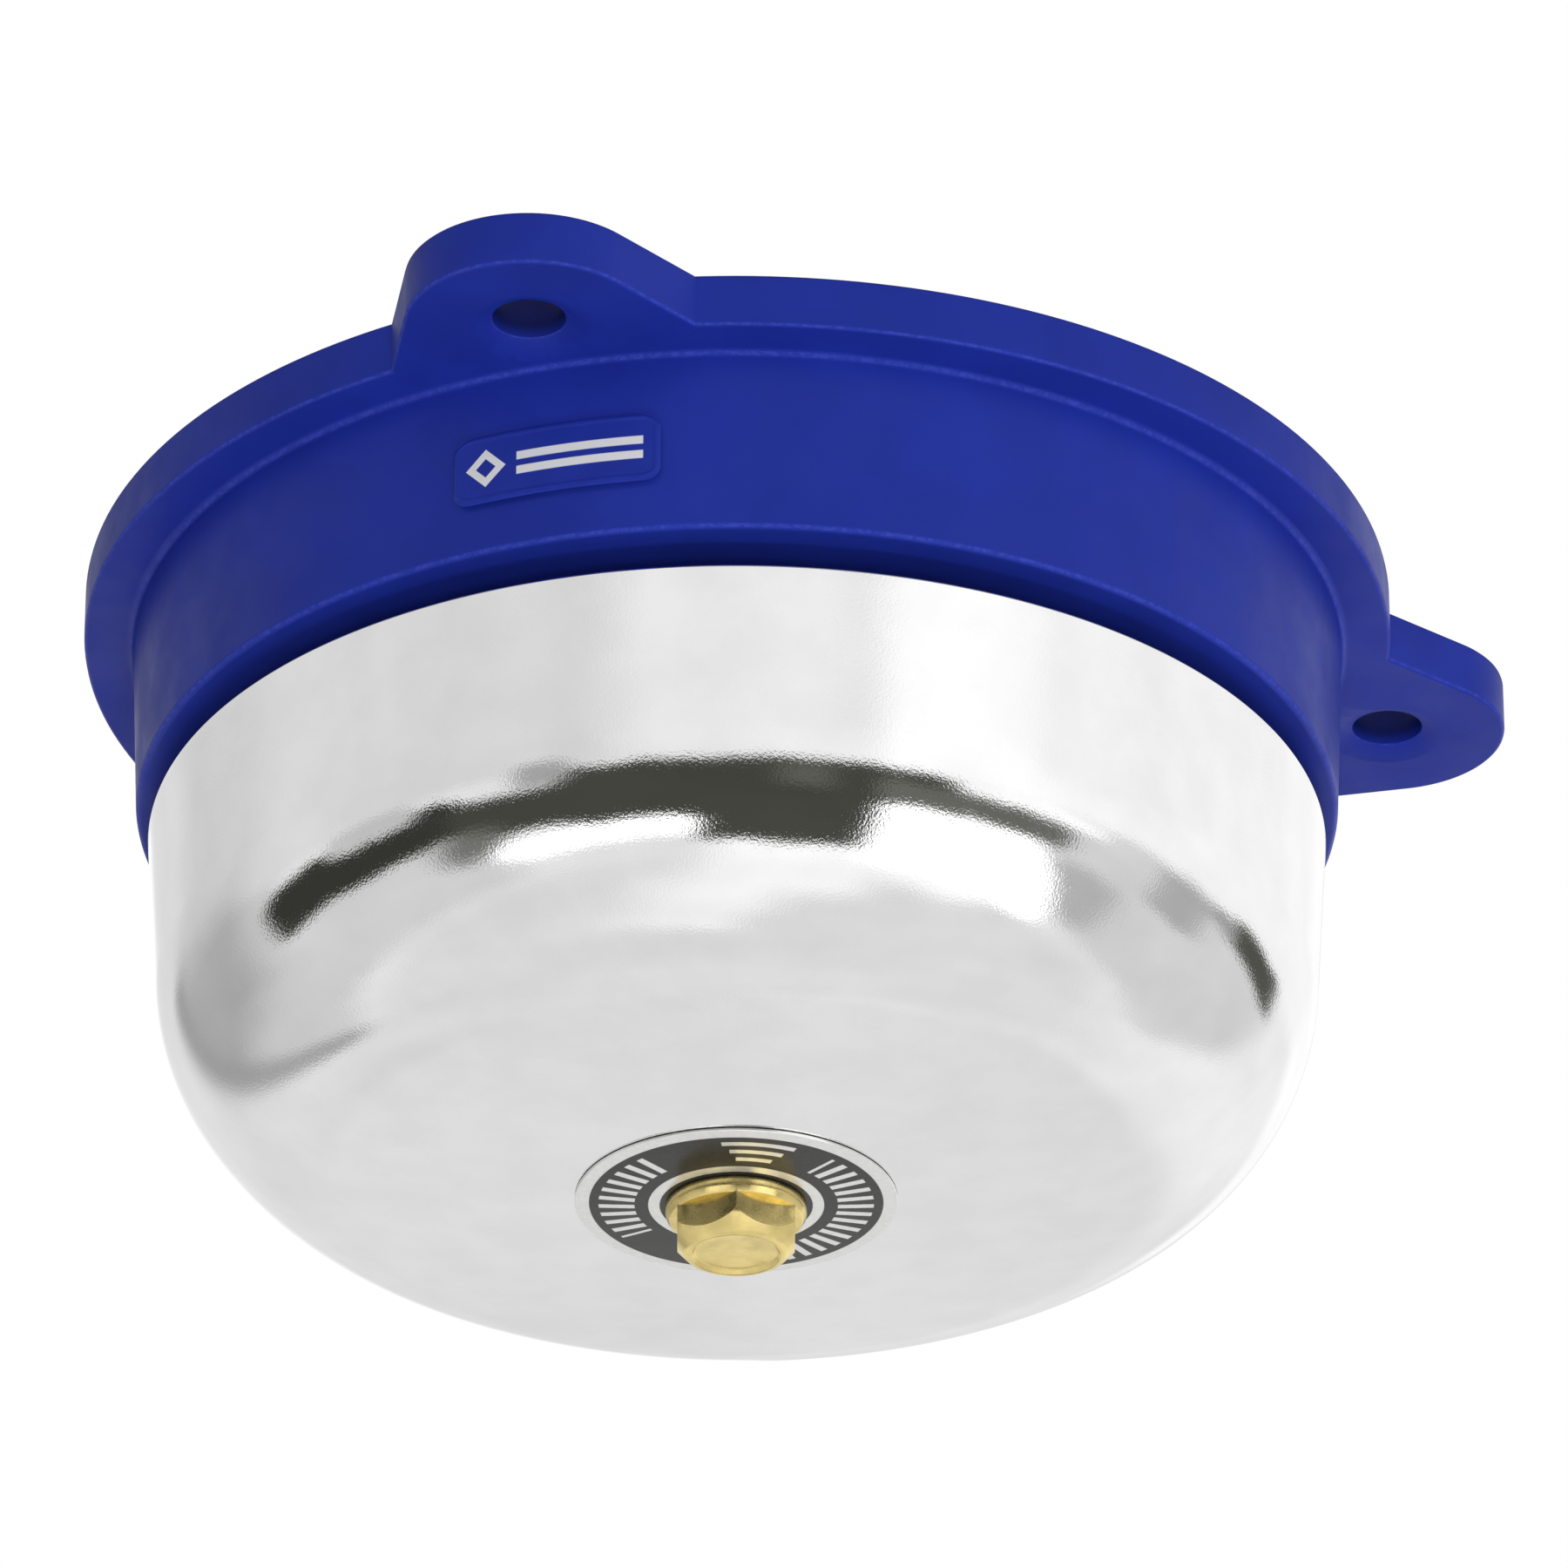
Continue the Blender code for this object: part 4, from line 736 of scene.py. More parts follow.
def prism(outline: Profile, back: float, front: float, edge: float = 0.0) -> bpy.types.Mesh:
    """A flat body along the bell's axis, with rounded rims.

    Args:
        outline: its corners in x and y.
        back: the depth of its back.
        front: the depth of its front.
        edge: the radius of its rims.

    Returns:
        The mesh.
    """
    shape = bmesh.new()
    floor = [shape.verts.new((x, y, -front)) for x, y in outline]
    roof = [shape.verts.new((x, y, -back)) for x, y in outline]
    rims = [shape.faces.new(floor), shape.faces.new(roof)]
    for index in range(len(outline)):
        following = (index + 1) % len(outline)
        shape.faces.new((floor[index], floor[following], roof[following], roof[index]))
    bmesh.ops.recalc_face_normals(shape, faces=shape.faces)
    if edge:
        edges = list({rim for face in rims for rim in face.edges})
        bmesh.ops.bevel(shape, geom=edges, offset=edge, segments=3, profile=0.5, affect="EDGES")
    return mesh_of(shape)


def brick(low: Corner, high: Corner, edge: float = 0.0) -> bpy.types.Mesh:
    """A box between two corners given as x, y and depth, with all its edges rounded.

    Args:
        low: one corner.
        high: the corner across from it.
        edge: the radius of its edges.

    Returns:
        The mesh.
    """
    shape = bmesh.new()
    size = [high[index] - low[index] for index in range(3)]
    middle = ((low[0] + high[0]) / 2, (low[1] + high[1]) / 2, -(low[2] + high[2]) / 2)
    matrix = Matrix.Translation(middle) @ Matrix.Diagonal((*size, 1.0))
    bmesh.ops.create_cube(shape, size=1.0, matrix=matrix)
    if edge:
        bmesh.ops.bevel(shape, geom=shape.edges[:], offset=edge, segments=3, profile=0.5, affect="EDGES")
    return mesh_of(shape)


def rod(start: Corner, end: Corner, radius: float, steps: int = 48) -> bpy.types.Mesh:
    """A plain round bar between two points given as x, y and depth.

    Args:
        start: the middle of one end.
        end: the middle of the other.
        radius: its radius.
        steps: how many sides it has.

    Returns:
        The mesh.
    """
    first = Vector((start[0], start[1], -start[2]))
    along = Vector((end[0], end[1], -end[2])) - first
    turn = along.to_track_quat("Z", "Y").to_matrix().to_4x4() @ Matrix.Rotation(OFF_TURN, 4, "Z")
    matrix = Matrix.Translation(first + along / 2) @ turn
    shape = bmesh.new()
    sizes = {"segments": steps, "radius1": radius, "radius2": radius, "depth": along.length}
    bmesh.ops.create_cone(shape, cap_ends=True, matrix=matrix, **sizes)
    return mesh_of(shape)


def bench_object(mesh: bpy.types.Mesh) -> bpy.types.Object:
    """Stand a mesh in the scene while it is worked on.

    Args:
        mesh: the mesh.

    Returns:
        The object that shows it.
    """
    obj = bpy.data.objects.new("on_the_bench", mesh)
    bpy.context.scene.collection.objects.link(obj)
    return obj


def settle(obj: bpy.types.Object) -> bpy.types.Mesh:
    """Take the finished mesh off an object with live modifiers, and clear the object away.

    Args:
        obj: the object on the bench.

    Returns:
        Its evaluated mesh.
    """
    bpy.context.view_layer.update()
    graph = bpy.context.evaluated_depsgraph_get()
    mesh = bpy.data.meshes.new_from_object(obj.evaluated_get(graph), depsgraph=graph)
    obj.modifiers.clear()
    bpy.data.objects.remove(obj, do_unlink=True)
    return mesh


def tidied(mesh: bpy.types.Mesh) -> bpy.types.Mesh:
    """Close the hairline slivers that joining and cutting leave.

    Args:
        mesh: the mesh.

    Returns:
        The same mesh, closed.
    """
    shape = bmesh.new()
    shape.from_mesh(mesh)
    bmesh.ops.remove_doubles(shape, verts=shape.verts, dist=2e-6)
    bmesh.ops.dissolve_degenerate(shape, edges=shape.edges, dist=2e-6)
    shape.to_mesh(mesh)
    shape.free()
    return mesh


def worked(body: bpy.types.Mesh, joined: list[bpy.types.Mesh], cut: list[bpy.types.Mesh]) -> bpy.types.Mesh:
    """Join some shapes to a body and cut others out of it.

    Args:
        body: the mesh to work on.
        joined: the shapes that become part of it.
        cut: the shapes that are cut away.

    Returns:
        The worked mesh.
    """
    obj = bench_object(body)
    groups = []
    for operation, tools in (("UNION", joined), ("DIFFERENCE", cut)):
        if not tools:
            continue
        group = bpy.data.collections.new(operation)
        groups.append(group)
        for tool in tools:
            group.objects.link(bpy.data.objects.new("tool", tool))
        boolean = obj.modifiers.new(operation, "BOOLEAN")
        boolean.operation = operation
        boolean.operand_type = "COLLECTION"
        boolean.collection = group
        boolean.solver = "EXACT"
    mesh = tidied(settle(obj))
    for group in groups:
        for tool in list(group.objects):
            bpy.data.objects.remove(tool, do_unlink=True)
        bpy.data.collections.remove(group)
    return mesh


def common(body: bpy.types.Mesh, other: bpy.types.Mesh) -> bpy.types.Mesh:
    """Keep only what two shapes share.

    Args:
        body: the first shape.
        other: the second.

    Returns:
        Their common part.
    """
    obj, tool = bench_object(body), bench_object(other)
    boolean = obj.modifiers.new("share", "BOOLEAN")
    boolean.operation = "INTERSECT"
    boolean.object = tool
    boolean.solver = "EXACT"
    mesh = tidied(settle(obj))
    bpy.data.objects.remove(tool, do_unlink=True)
    return mesh


def gathered(meshes: list[bpy.types.Mesh]) -> bpy.types.Mesh:
    """Put several closed shapes in one mesh.

    Args:
        meshes: the closed shapes.

    Returns:
        The mesh that holds them all.
    """
    shape = bmesh.new()
    for mesh in meshes:
        shape.from_mesh(mesh)
    whole = bpy.data.meshes.new("shape")
    shape.to_mesh(whole)
    shape.free()
    return whole


# --------------------------------------------------------------------------------------------------
# Geometry Nodes
# --------------------------------------------------------------------------------------------------


class NodeMaker:
    """A Geometry Nodes tree with named inputs, which ends in Realize Instances and Set Material."""

    name = "maker"
    inputs: dict[str, str] = {}

    def __init__(self) -> None:
        """Build the tree, or find it if it is there already."""
        self.tree = bpy.data.node_groups.get(self.name)
        if self.tree:
            return
        self.tree = bpy.data.node_groups.new(self.name, "GeometryNodeTree")
        face = self.tree.interface
        face.new_socket("Geometry", in_out="INPUT", socket_type="NodeSocketGeometry")
        for label, kind in {**self.inputs, "Finish": "Material"}.items():
            face.new_socket(label, in_out="INPUT", socket_type=f"NodeSocket{kind}")
        face.new_socket("Geometry", in_out="OUTPUT", socket_type="NodeSocketGeometry")
        graph = Graph(self.tree)
        given = graph.add("NodeGroupInput").outputs
        solid = graph.add("GeometryNodeRealizeInstances", {0: self.shape(graph, given)}).outputs[0]
        dress = {"Geometry": solid, "Material": given["Finish"]}
        graph.add("NodeGroupOutput", {0: graph.add("GeometryNodeSetMaterial", dress).outputs[0]})

    def shape(self, graph: Graph, given: bpy.types.NodeOutputs) -> bpy.types.NodeSocket:
        """Make the shape from the tree's inputs; each kind of maker has its own."""
        raise NotImplementedError

    def make(self, host: bpy.types.Mesh, slot: Slot, **values: object) -> bpy.types.Mesh:
        """Run the tree on a mesh.

        Args:
            host: the mesh that it starts from.
            slot: the finish of what it makes.
            values: the tree's inputs, by name with _ for a space.

        Returns:
            The mesh that it makes.
        """
        obj = bench_object(host)
        modifier = obj.modifiers.new(self.name, "NODES")
        modifier.node_group = self.tree
        wanted = {label.replace("_", " "): value for label, value in values.items()}
        wanted["Finish"] = slot.material()
        for item in self.tree.interface.items_tree:
            if item.in_out == "INPUT" and item.name in wanted:
                modifier[item.identifier] = wanted[item.name]
        return settle(obj)


class Lathe(NodeMaker):
    """Turns a section about +Z."""

    name = "lathe"
    inputs = {"Steps": "Int", "Guide radius": "Float"}
    guide = 10.0

    def shape(self, graph: Graph, given: bpy.types.NodeOutputs) -> bpy.types.NodeSocket:
        """Sweep the section round a circle and close the poles.

        Args:
            graph: the node tree's graph.
            given: the tree's inputs.

        Returns:
            The socket that gives the body.
        """
        section = graph.add("GeometryNodeMeshToCurve", {"Mesh": given["Geometry"]}).outputs["Curve"]
        guide = {"Resolution": given["Steps"], "Radius": given["Guide radius"]}
        circle = graph.add("GeometryNodeCurvePrimitiveCircle", guide).outputs["Curve"]
        sweep = {"Curve": circle, "Profile Curve": section}
        body = graph.add("GeometryNodeCurveToMesh", sweep).outputs["Mesh"]
        poles = {"Geometry": body, "Distance": 1e-6}
        return graph.add("GeometryNodeMergeByDistance", poles).outputs["Geometry"]

    def turn(self, section: Profile, slot: Slot, steps: int = 96, axis: Axis = Axis.BELL) -> bpy.types.Mesh:
        """Turn a section.

        Args:
            section: its points as radius and place along the axis, closed unless it starts on the axis.
            slot: the finish.
            steps: how many sides it has.
            axis: the axis that it is turned about.

        Returns:
            The mesh, in metres.
        """
        count = len(section)
        runs = [(index, index + 1) for index in range(count - 1)]
        if section[0][0] > 0.0:
            runs.append((count - 1, 0))
        host = bpy.data.meshes.new("section")
        host.from_pydata([((r - self.guide) * MM, along * MM, 0.0) for r, along in section], runs, [])
        mesh = self.make(host, slot, Steps=steps, Guide_radius=self.guide * MM)
        shape = bmesh.new()
        shape.from_mesh(mesh)
        shape.transform(axis.matrix())
        face_outward(shape)
        shape.to_mesh(mesh)
        shape.free()
        return mesh


class ScrewSetter(NodeMaker):
    """Sets a copy of one screw at each point of a mesh, each turned by chance from a fixed seed."""

    name = "screw_setter"
    inputs = {"Screw": "Object", "Seed": "Int"}

    def shape(self, graph: Graph, given: bpy.types.NodeOutputs) -> bpy.types.NodeSocket:
        """Instance the screw on the points.

        Args:
            graph: the node tree's graph.
            given: the tree's inputs.

        Returns:
            The socket that gives the screws.
        """
        screw = graph.add("GeometryNodeObjectInfo", {"Object": given["Screw"]}).outputs["Geometry"]
        chance = {2: 0.0, 3: math.tau, "Seed": given["Seed"]}
        turn = graph.add("FunctionNodeRandomValue", chance, data_type="FLOAT").outputs[1]
        angles = graph.add("ShaderNodeCombineXYZ", {2: turn}).outputs[0]
        copies = {"Points": given["Geometry"], "Instance": screw, "Rotation": angles}
        return graph.add("GeometryNodeInstanceOnPoints", copies).outputs[0]

    def set(self, screw: bpy.types.Mesh, places: list[Corner], slot: Slot, seed: int) -> bpy.types.Mesh:
        """Set the screws.

        Args:
            screw: one screw, seated at the origin.
            places: where they go, as x, y and depth.
            slot: the finish.
            seed: the seed for how they are turned.

        Returns:
            All the screws in one mesh.
        """
        points = bpy.data.meshes.new("places")
        points.from_pydata([(x * MM, y * MM, -depth * MM) for x, y, depth in places], [], [])
        pattern = bench_object(screw)
        mesh = self.make(points, slot, Screw=pattern, Seed=seed)
        bpy.data.objects.remove(pattern, do_unlink=True)
        return mesh


class WireWinder(NodeMaker):
    """Winds round wire into a helix along +Z, with closed ends."""

    name = "wire_winder"
    inputs = {
        "Turns": "Float",
        "Radius": "Float",
        "Length": "Float",
        "Wire radius": "Float",
        "Points": "Int",
    }

    def shape(self, graph: Graph, given: bpy.types.NodeOutputs) -> bpy.types.NodeSocket:
        """Sweep the wire's round section along a spiral.

        Args:
            graph: the node tree's graph.
            given: the tree's inputs.

        Returns:
            The socket that gives the wire.
        """
        spiral = {
            "Resolution": given["Points"],
            "Rotations": given["Turns"],
            "Start Radius": given["Radius"],
            "End Radius": given["Radius"],
            "Height": given["Length"],
        }
        path = graph.add("GeometryNodeCurveSpiral", spiral).outputs[0]
        round_section = {"Resolution": 10, "Radius": given["Wire radius"]}
        section = graph.add("GeometryNodeCurvePrimitiveCircle", round_section).outputs["Curve"]
        sweep = {"Curve": path, "Profile Curve": section, "Fill Caps": True}
        return graph.add("GeometryNodeCurveToMesh", sweep).outputs["Mesh"]

    def wind(
        self, turns: float, radius: float, start: float, end: float, wire: float, points: int, slot: Slot
    ) -> bpy.types.Mesh:
        """Wind wire along the coil's axis.

        Args:
            turns: how many turns it has.
            radius: from the axis to the middle of the wire.
            start: the x of the middle of its first turn.
            end: the x of the middle of its last turn.
            wire: the wire's radius.
            points: the points in each turn.
            slot: the finish.

        Returns:
            The mesh.
        """
        sizes = {"Turns": turns, "Radius": radius * MM, "Length": (end - start) * MM, "Points": points}
        mesh = self.make(bpy.data.meshes.new("none"), slot, Wire_radius=wire * MM, **sizes)
        centre = Axis.COIL.matrix().translation
        turn = Matrix(((0, 0, 1), (1, 0, 0), (0, 1, 0))).to_4x4()
        mesh.transform(Matrix.Translation((start * MM, centre.y, centre.z)) @ turn)
        return mesh


# --------------------------------------------------------------------------------------------------
# Fitting pieces to the frame
# --------------------------------------------------------------------------------------------------


def smooth(mesh: bpy.types.Mesh) -> None:
    """Shade a mesh smooth, apart from its real edges.

    Args:
        mesh: the mesh.
    """
    shape = bmesh.new()
    shape.from_mesh(mesh)
    for face in shape.faces:
        face.smooth = True
    for edge in shape.edges:
        edge.smooth = edge.is_manifold and edge.calc_face_angle(0.0) < SHARP_EDGE
    shape.to_mesh(mesh)
    shape.free()


def fit(
    name: str, mesh: bpy.types.Mesh, slot: Slot, nodes: tuple[str, ...], body: Body = Body.BASE
) -> bpy.types.Object:
    """Put a finished piece on the frame in place of the nodes that it stands for.

    Args:
        name: the piece's name.
        mesh: its mesh, in place.
        slot: its finish.
        nodes: the nodes that it stands for.
        body: the body that it moves with.

    Returns:
        The piece.
    """
    smooth(mesh)
    obj = bench_object(mesh)
    weigh = obj.modifiers.new("weigh", "WEIGHTED_NORMAL")
    weigh.keep_sharp = True
    mesh = settle(obj)
    mesh.name = name
    mesh.materials.clear()
    mesh.materials.append(slot.material())
    piece = bpy.data.objects.new(name, mesh)
    bpy.context.scene.collection.objects.link(piece)
    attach(piece, body.value)
    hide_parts(*nodes)
    log.info("%s: %d faces on %s for %s", name, len(mesh.polygons), body.value, ", ".join(nodes))
    return piece


def dress(node: str, slot: Slot) -> None:
    """Give a node of the frame its finish.

    Args:
        node: the node's name.
        slot: the finish.
    """
    obj = frame["nodes"][node]
    for place in obj.material_slots:
        place.material = slot.material()
    log.info("%s: kept as packed, in %s", node, slot.name.lower())


def middle_of(node: str) -> Vector:
    """The middle of a node's box in millimetres."""
    low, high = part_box(node)
    return (low + high) / (2 * MM)


# --------------------------------------------------------------------------------------------------
# Sub-assemblies
# --------------------------------------------------------------------------------------------------

PLATE_SCREWS = [on_circle(32.0, angle) for angle in (-150.0, -30.0, 90.0)]
YOKE_EARS = ((9.0, 8.5), (-9.0, 31.5))


@dataclass(frozen=True)
class Screw:
    """A small screw with a cross recess, by the radius and size of its head and its shank."""

    head: float = 2.8
    height: float = 1.8
    shank: float = 1.4
    length: float = 6.5
    countersunk: bool = False
    pitch: float = 0.7
    recess: float = 1.2

    def mesh(self, slot: Slot) -> bpy.types.Mesh:
        """One screw whose head rests at the origin, with its shank towards the mounting face.

        Args:
            slot: the finish.

        Returns:
            The mesh, with a cross recess in its head and grooves on its shank.
        """
        top = self.height
        if self.countersunk:
            head = [(self.shank, 0.0), (self.head, top - 0.12, 0.06), (self.head, top)]
        else:
            head = [(self.shank, 0.0), (self.head, 0.0, 0.12), (self.head, top * 0.62, 0.3)]
            head += [(self.head * 0.62, top, 0.4)]
        groove = []
        for turn in range(int((self.length - 1.0) / self.pitch)):
            along = -self.length + 0.8 + turn * self.pitch
            groove += [(self.shank * 0.8, along), (self.shank, along + self.pitch * 0.45)]
        section = [(0.0, -self.length), (self.shank * 0.35, -self.length), *groove, *head, (0.0, top)]
        body = Lathe().turn(rounded(section), slot, 40)
        depth = min(self.recess, top * 0.75)
        long, narrow = self.head * 0.62, self.head * 0.12
        first = brick((-long, -narrow, top - depth), (long, narrow, top + 0.5))
        second = brick((-narrow, -long, top - depth * 0.97), (narrow, long, top + 0.7))
        for arm in (first, second):
            arm.transform(Matrix.Rotation(OFF_TURN, 4, "Z"))
        return worked(body, [], [first, second])


@dataclass
class BaseHousing:
    """The blue moulding: flange, drum and deck, three lugs, screw bosses and holes."""

    drum_front: float = 51.1
    draft: float = 0.7
    flange_lip: float = 4.2
    flange: float = 4.8
    depth: float = 20.9
    deck: float = 2.5
    wall: float = 5.0
    root_fillet: float = 0.7
    front_edge: float = 0.6
    rim_edge: float = 0.4
    seat: float = 2.3
    ledge: float = 2.5
    post_hole: float = 4.3
    lug_angles: tuple[float, ...] = (-106.75, 13.25, 133.25)
    lug_end: float = 10.2
    lug_foot: float = 13.5
    lug_reach: float = 2.0
    lug_hole: float = 3.0
    sink_radius: float = 4.85
    sink_depth: float = 0.8
    screw_hole: float = 1.7
    cover_boss: float = 4.0
    plate_boss: float = 3.5
    lead_hole: tuple[float, float, float] = (-14.1, -6.0, 3.2)  # x, y and radius
    inlet_hole: float = 4.5
    hair: float = 0.005  # how far the lugs' faces lie inside the flange's
    steps: int = 240

    def section(self) -> Profile:
        """The moulding's section, from the flange's rim round to the cover's recess.

        Returns:
            The section's corners.
        """
        root = self.drum_front + self.draft
        rim, cavity = root + self.flange_lip, self.drum_front - self.wall
        deck_back = self.depth - self.deck
        return rounded(
            [
                (rim, 0.0, self.rim_edge),
                (rim, self.flange, self.rim_edge),
                (root, self.flange, self.root_fillet),
                (self.drum_front, self.depth, self.front_edge),
                (self.post_hole, self.depth, 0.15),
                (self.post_hole, deck_back, 0.15),
                (cavity, deck_back, 0.8),
                (cavity, self.seat, 0.2),
                (cavity + self.ledge, self.seat, 0.2),
                (cavity + self.ledge, 0.0, 0.2),
            ]
        )

    def lug(self, angle: float) -> bpy.types.Mesh:
        """One lug, whose sides run as tangents from its round end down to the flange.

        Args:
            angle: where it is round the flange, in degrees.

        Returns:
            The mesh.
        """
        root = self.drum_front + self.draft
        rim = root + self.flange_lip
        foot = Vector(on_circle(rim, self.lug_foot))
        centre = Vector((rim + self.lug_reach, 0.0))
        to_foot = foot - centre
        tangent = math.atan2(to_foot.y, to_foot.x) - math.acos(self.lug_end / to_foot.length)
        half = [on_circle(root - 1.0, self.lug_foot), (foot.x, foot.y)]
        end = arc(centre, self.lug_end, tangent, -tangent, 40)
        outline = half + end + [(x, -y) for x, y in reversed(half)]
        turn = Matrix.Rotation(math.radians(angle), 2)
        placed = [tuple(turn @ Vector(point)) for point in outline]
        return prism(placed, self.hair, self.flange - self.hair, self.rim_edge)

    def build(self) -> None:
        """Make the moulding and put it on the frame."""
        plastic = Slot.BLUE_PLASTIC
        body = Lathe().turn(self.section(), plastic, self.steps)
        cavity = self.drum_front - self.wall
        deck_back = self.depth - self.deck
        joined = [self.lug(angle) for angle in self.lug_angles]
        cut = []
        pitch = self.drum_front + self.draft + self.flange_lip + self.lug_reach
        slope = (self.sink_radius - self.lug_hole) / self.sink_depth
        sink = [
            (0.0, -1.0),
            (self.lug_hole, -1.0),
            (self.lug_hole, self.flange - self.sink_depth, 0.2),
            (self.sink_radius + slope * 0.3, self.flange + 0.3),
            (0.0, self.flange + 0.3),
        ]
        drill = Lathe().turn(rounded(sink), plastic, 72)
        for angle in self.lug_angles:
            hole = drill.copy()
            hole.transform(Matrix.Translation((*(value * MM for value in on_circle(pitch, angle)), 0.0)))
            cut.append(hole)
            x, y = on_circle(cavity - 2.8, angle + 60.0)
            joined.append(rod((x, y, self.seat + 0.27), (x, y, deck_back + 1.0), self.cover_boss))
            cut.append(rod((x, y, 0.0), (x, y, 9.3), self.screw_hole))
        for x, y in PLATE_SCREWS:
            joined.append(rod((x, y, deck_back - 5.4), (x, y, deck_back + 1.0), self.plate_boss))
            cut.append(rod((x, y, 16.2), (x, y, self.depth + 0.5), self.screw_hole))
        block = (0.0, middle_of("terminal_block").y)
        cut.append(rod((*block, deck_back - 0.3), (*block, self.depth - 0.6), self.screw_hole))
        x, y, radius = self.lead_hole
        cut.append(rod((x, y, deck_back - 0.3), (x, y, self.depth + 0.3), radius))
        inlet = -middle_of("cable_grommet").z
        cut.append(rod((0.0, cavity - 5.0, inlet), (0.0, 60.0, inlet), self.inlet_hole))
        fit("moulded_base", worked(body, joined, cut), plastic, ("base_housing",))


@dataclass
class SideBadge:
    """The raised patch on the drum, with rounded corners and a low rim round its printed field."""

    angle: float = -106.45
    length: float = 17.7
    height: float = 6.3
    middle: float = 13.55
    lift: float = 0.2
    thickness: float = 0.25
    corner: float = 1.3
    rim: float = 0.45
    drum_root: float = 51.8
    drum_draft: float = 0.7 / 16.1  # how far the drum closes in for each millimetre of depth
    flange: float = 4.8
    columns: int = 150
    rows: int = 54

    def relief(self, across: float, up: float) -> float:
        """How thick the patch is at a place on it.

        Args:
            across: the distance from its middle round the drum.
            up: the distance from its middle along the axis.

        Returns:
            The thickness.
        """
        inset_x = self.length / 2 - self.corner - abs(across)
        inset_y = self.height / 2 - self.corner - abs(up)
        nearest = min(inset_x, inset_y)
        outside = math.hypot(min(inset_x, 0.0), min(inset_y, 0.0))
        inset = self.corner - outside if nearest < 0.0 else self.corner + nearest
        rim = 1.0 - min(max((inset - self.rim) / 0.12, 0.0), 1.0)
        edge = min(max(inset / 0.3, 0.0), 1.0)
        return self.thickness * (0.40 + 0.45 * math.sin(edge * math.pi / 2) + 0.15 * rim * edge)

    def build(self) -> None:
        """Bend the patch to the drum and put it on the frame."""
        shape = bmesh.new()
        wall = self.drum_root - self.drum_draft * (self.middle - self.height / 2 - self.flange)
        inner = wall + self.lift

        def spot(across: float, up: float, radius: float) -> Vector:
            """A place on the patch at a radius from the bell's axis.

            Args:
                across: how far round the drum it lies from the middle of the patch.
                up: how far above the middle.
                radius: from the bell's axis.

            Returns:
                The place.
            """
            overhang_y = max(0.0, abs(up) - (self.height / 2 - self.corner))
            shrink = self.corner - math.sqrt(max(self.corner**2 - overhang_y**2, 0.0))
            across *= 1.0 - shrink / (self.length / 2)
            turn = math.radians(self.angle) + across / inner
            return Vector((radius * math.cos(turn), radius * math.sin(turn), -(self.middle + up)))

        layers = []
        for outer in (False, True):
            layer = []
            for row in range(self.rows + 1):
                up = self.height * (row / self.rows - 0.5)
                line = []
                for column in range(self.columns + 1):
                    across = self.length * (column / self.columns - 0.5)
                    radius = inner + (self.relief(across, up) if outer else 0.0)
                    line.append(shape.verts.new(spot(across, up, radius)))
                layer.append(line)
            layers.append(layer)
        under, over = layers
        for layer in layers:
            for first, second in zip(layer, layer[1:]):
                for index in range(self.columns):
                    shape.faces.new((first[index], first[index + 1], second[index + 1], second[index]))
        last_row, last_column = self.rows, self.columns
        for index in range(last_column):
            for row in (0, last_row):
                low, high = under[row], over[row]
                shape.faces.new((low[index], high[index], high[index + 1], low[index + 1]))
        for index in range(last_row):
            for column in (0, last_column):
                sides = (under[index][column], over[index][column])
                shape.faces.new((*sides, over[index + 1][column], under[index + 1][column]))
        fit("side_badge_patch", mesh_of(shape), Slot.BADGE_FILM, ("side_badge",))


@dataclass
class BackCover:
    """The board that closes the rear cavity, with its three countersunk screws."""

    radius: float = 48.3
    thickness: float = 2.0
    screw_circle: float = 43.3
    screw_angles: tuple[float, ...] = (-46.75, 73.25, 193.25)

    def build(self) -> None:
        """Make the board and its screws and put them on the frame."""
        board = rounded([(0.0, 0.0), (self.radius, 0.0, 0.25), (self.radius, self.thickness, 0.25)])
        body = Lathe().turn([*board, (0.0, self.thickness)], Slot.FIBRE_BOARD, 180)
        drill = [(0.0, -0.3), (3.4, -0.3), (1.7, 1.4), (1.7, 2.3), (0.0, 2.3)]
        sink = Lathe().turn(drill, Slot.FIBRE_BOARD, 48)
        holes = []
        places = [on_circle(self.screw_circle, angle) for angle in self.screw_angles]
        for x, y in places:
            hole = sink.copy()
            hole.transform(Matrix.Translation((x * MM, y * MM, 0.0)))
            holes.append(hole)
        fit("rear_board", worked(body, [], holes), Slot.FIBRE_BOARD, ("back_cover",))
        screw = Screw(length=7.6, height=1.4, countersunk=True).mesh(Slot.ZINC_STEEL)
        screw.transform(Matrix.Rotation(math.pi, 4, "X"))
        seats = [(x, y, 1.4) for x, y in places]
        nodes = ("cover_screw_1", "cover_screw_2", "cover_screw_3")
        screws = ScrewSetter().set(screw, seats, Slot.ZINC_STEEL, 3)
        fit("rear_board_screws", screws, Slot.ZINC_STEEL, nodes)


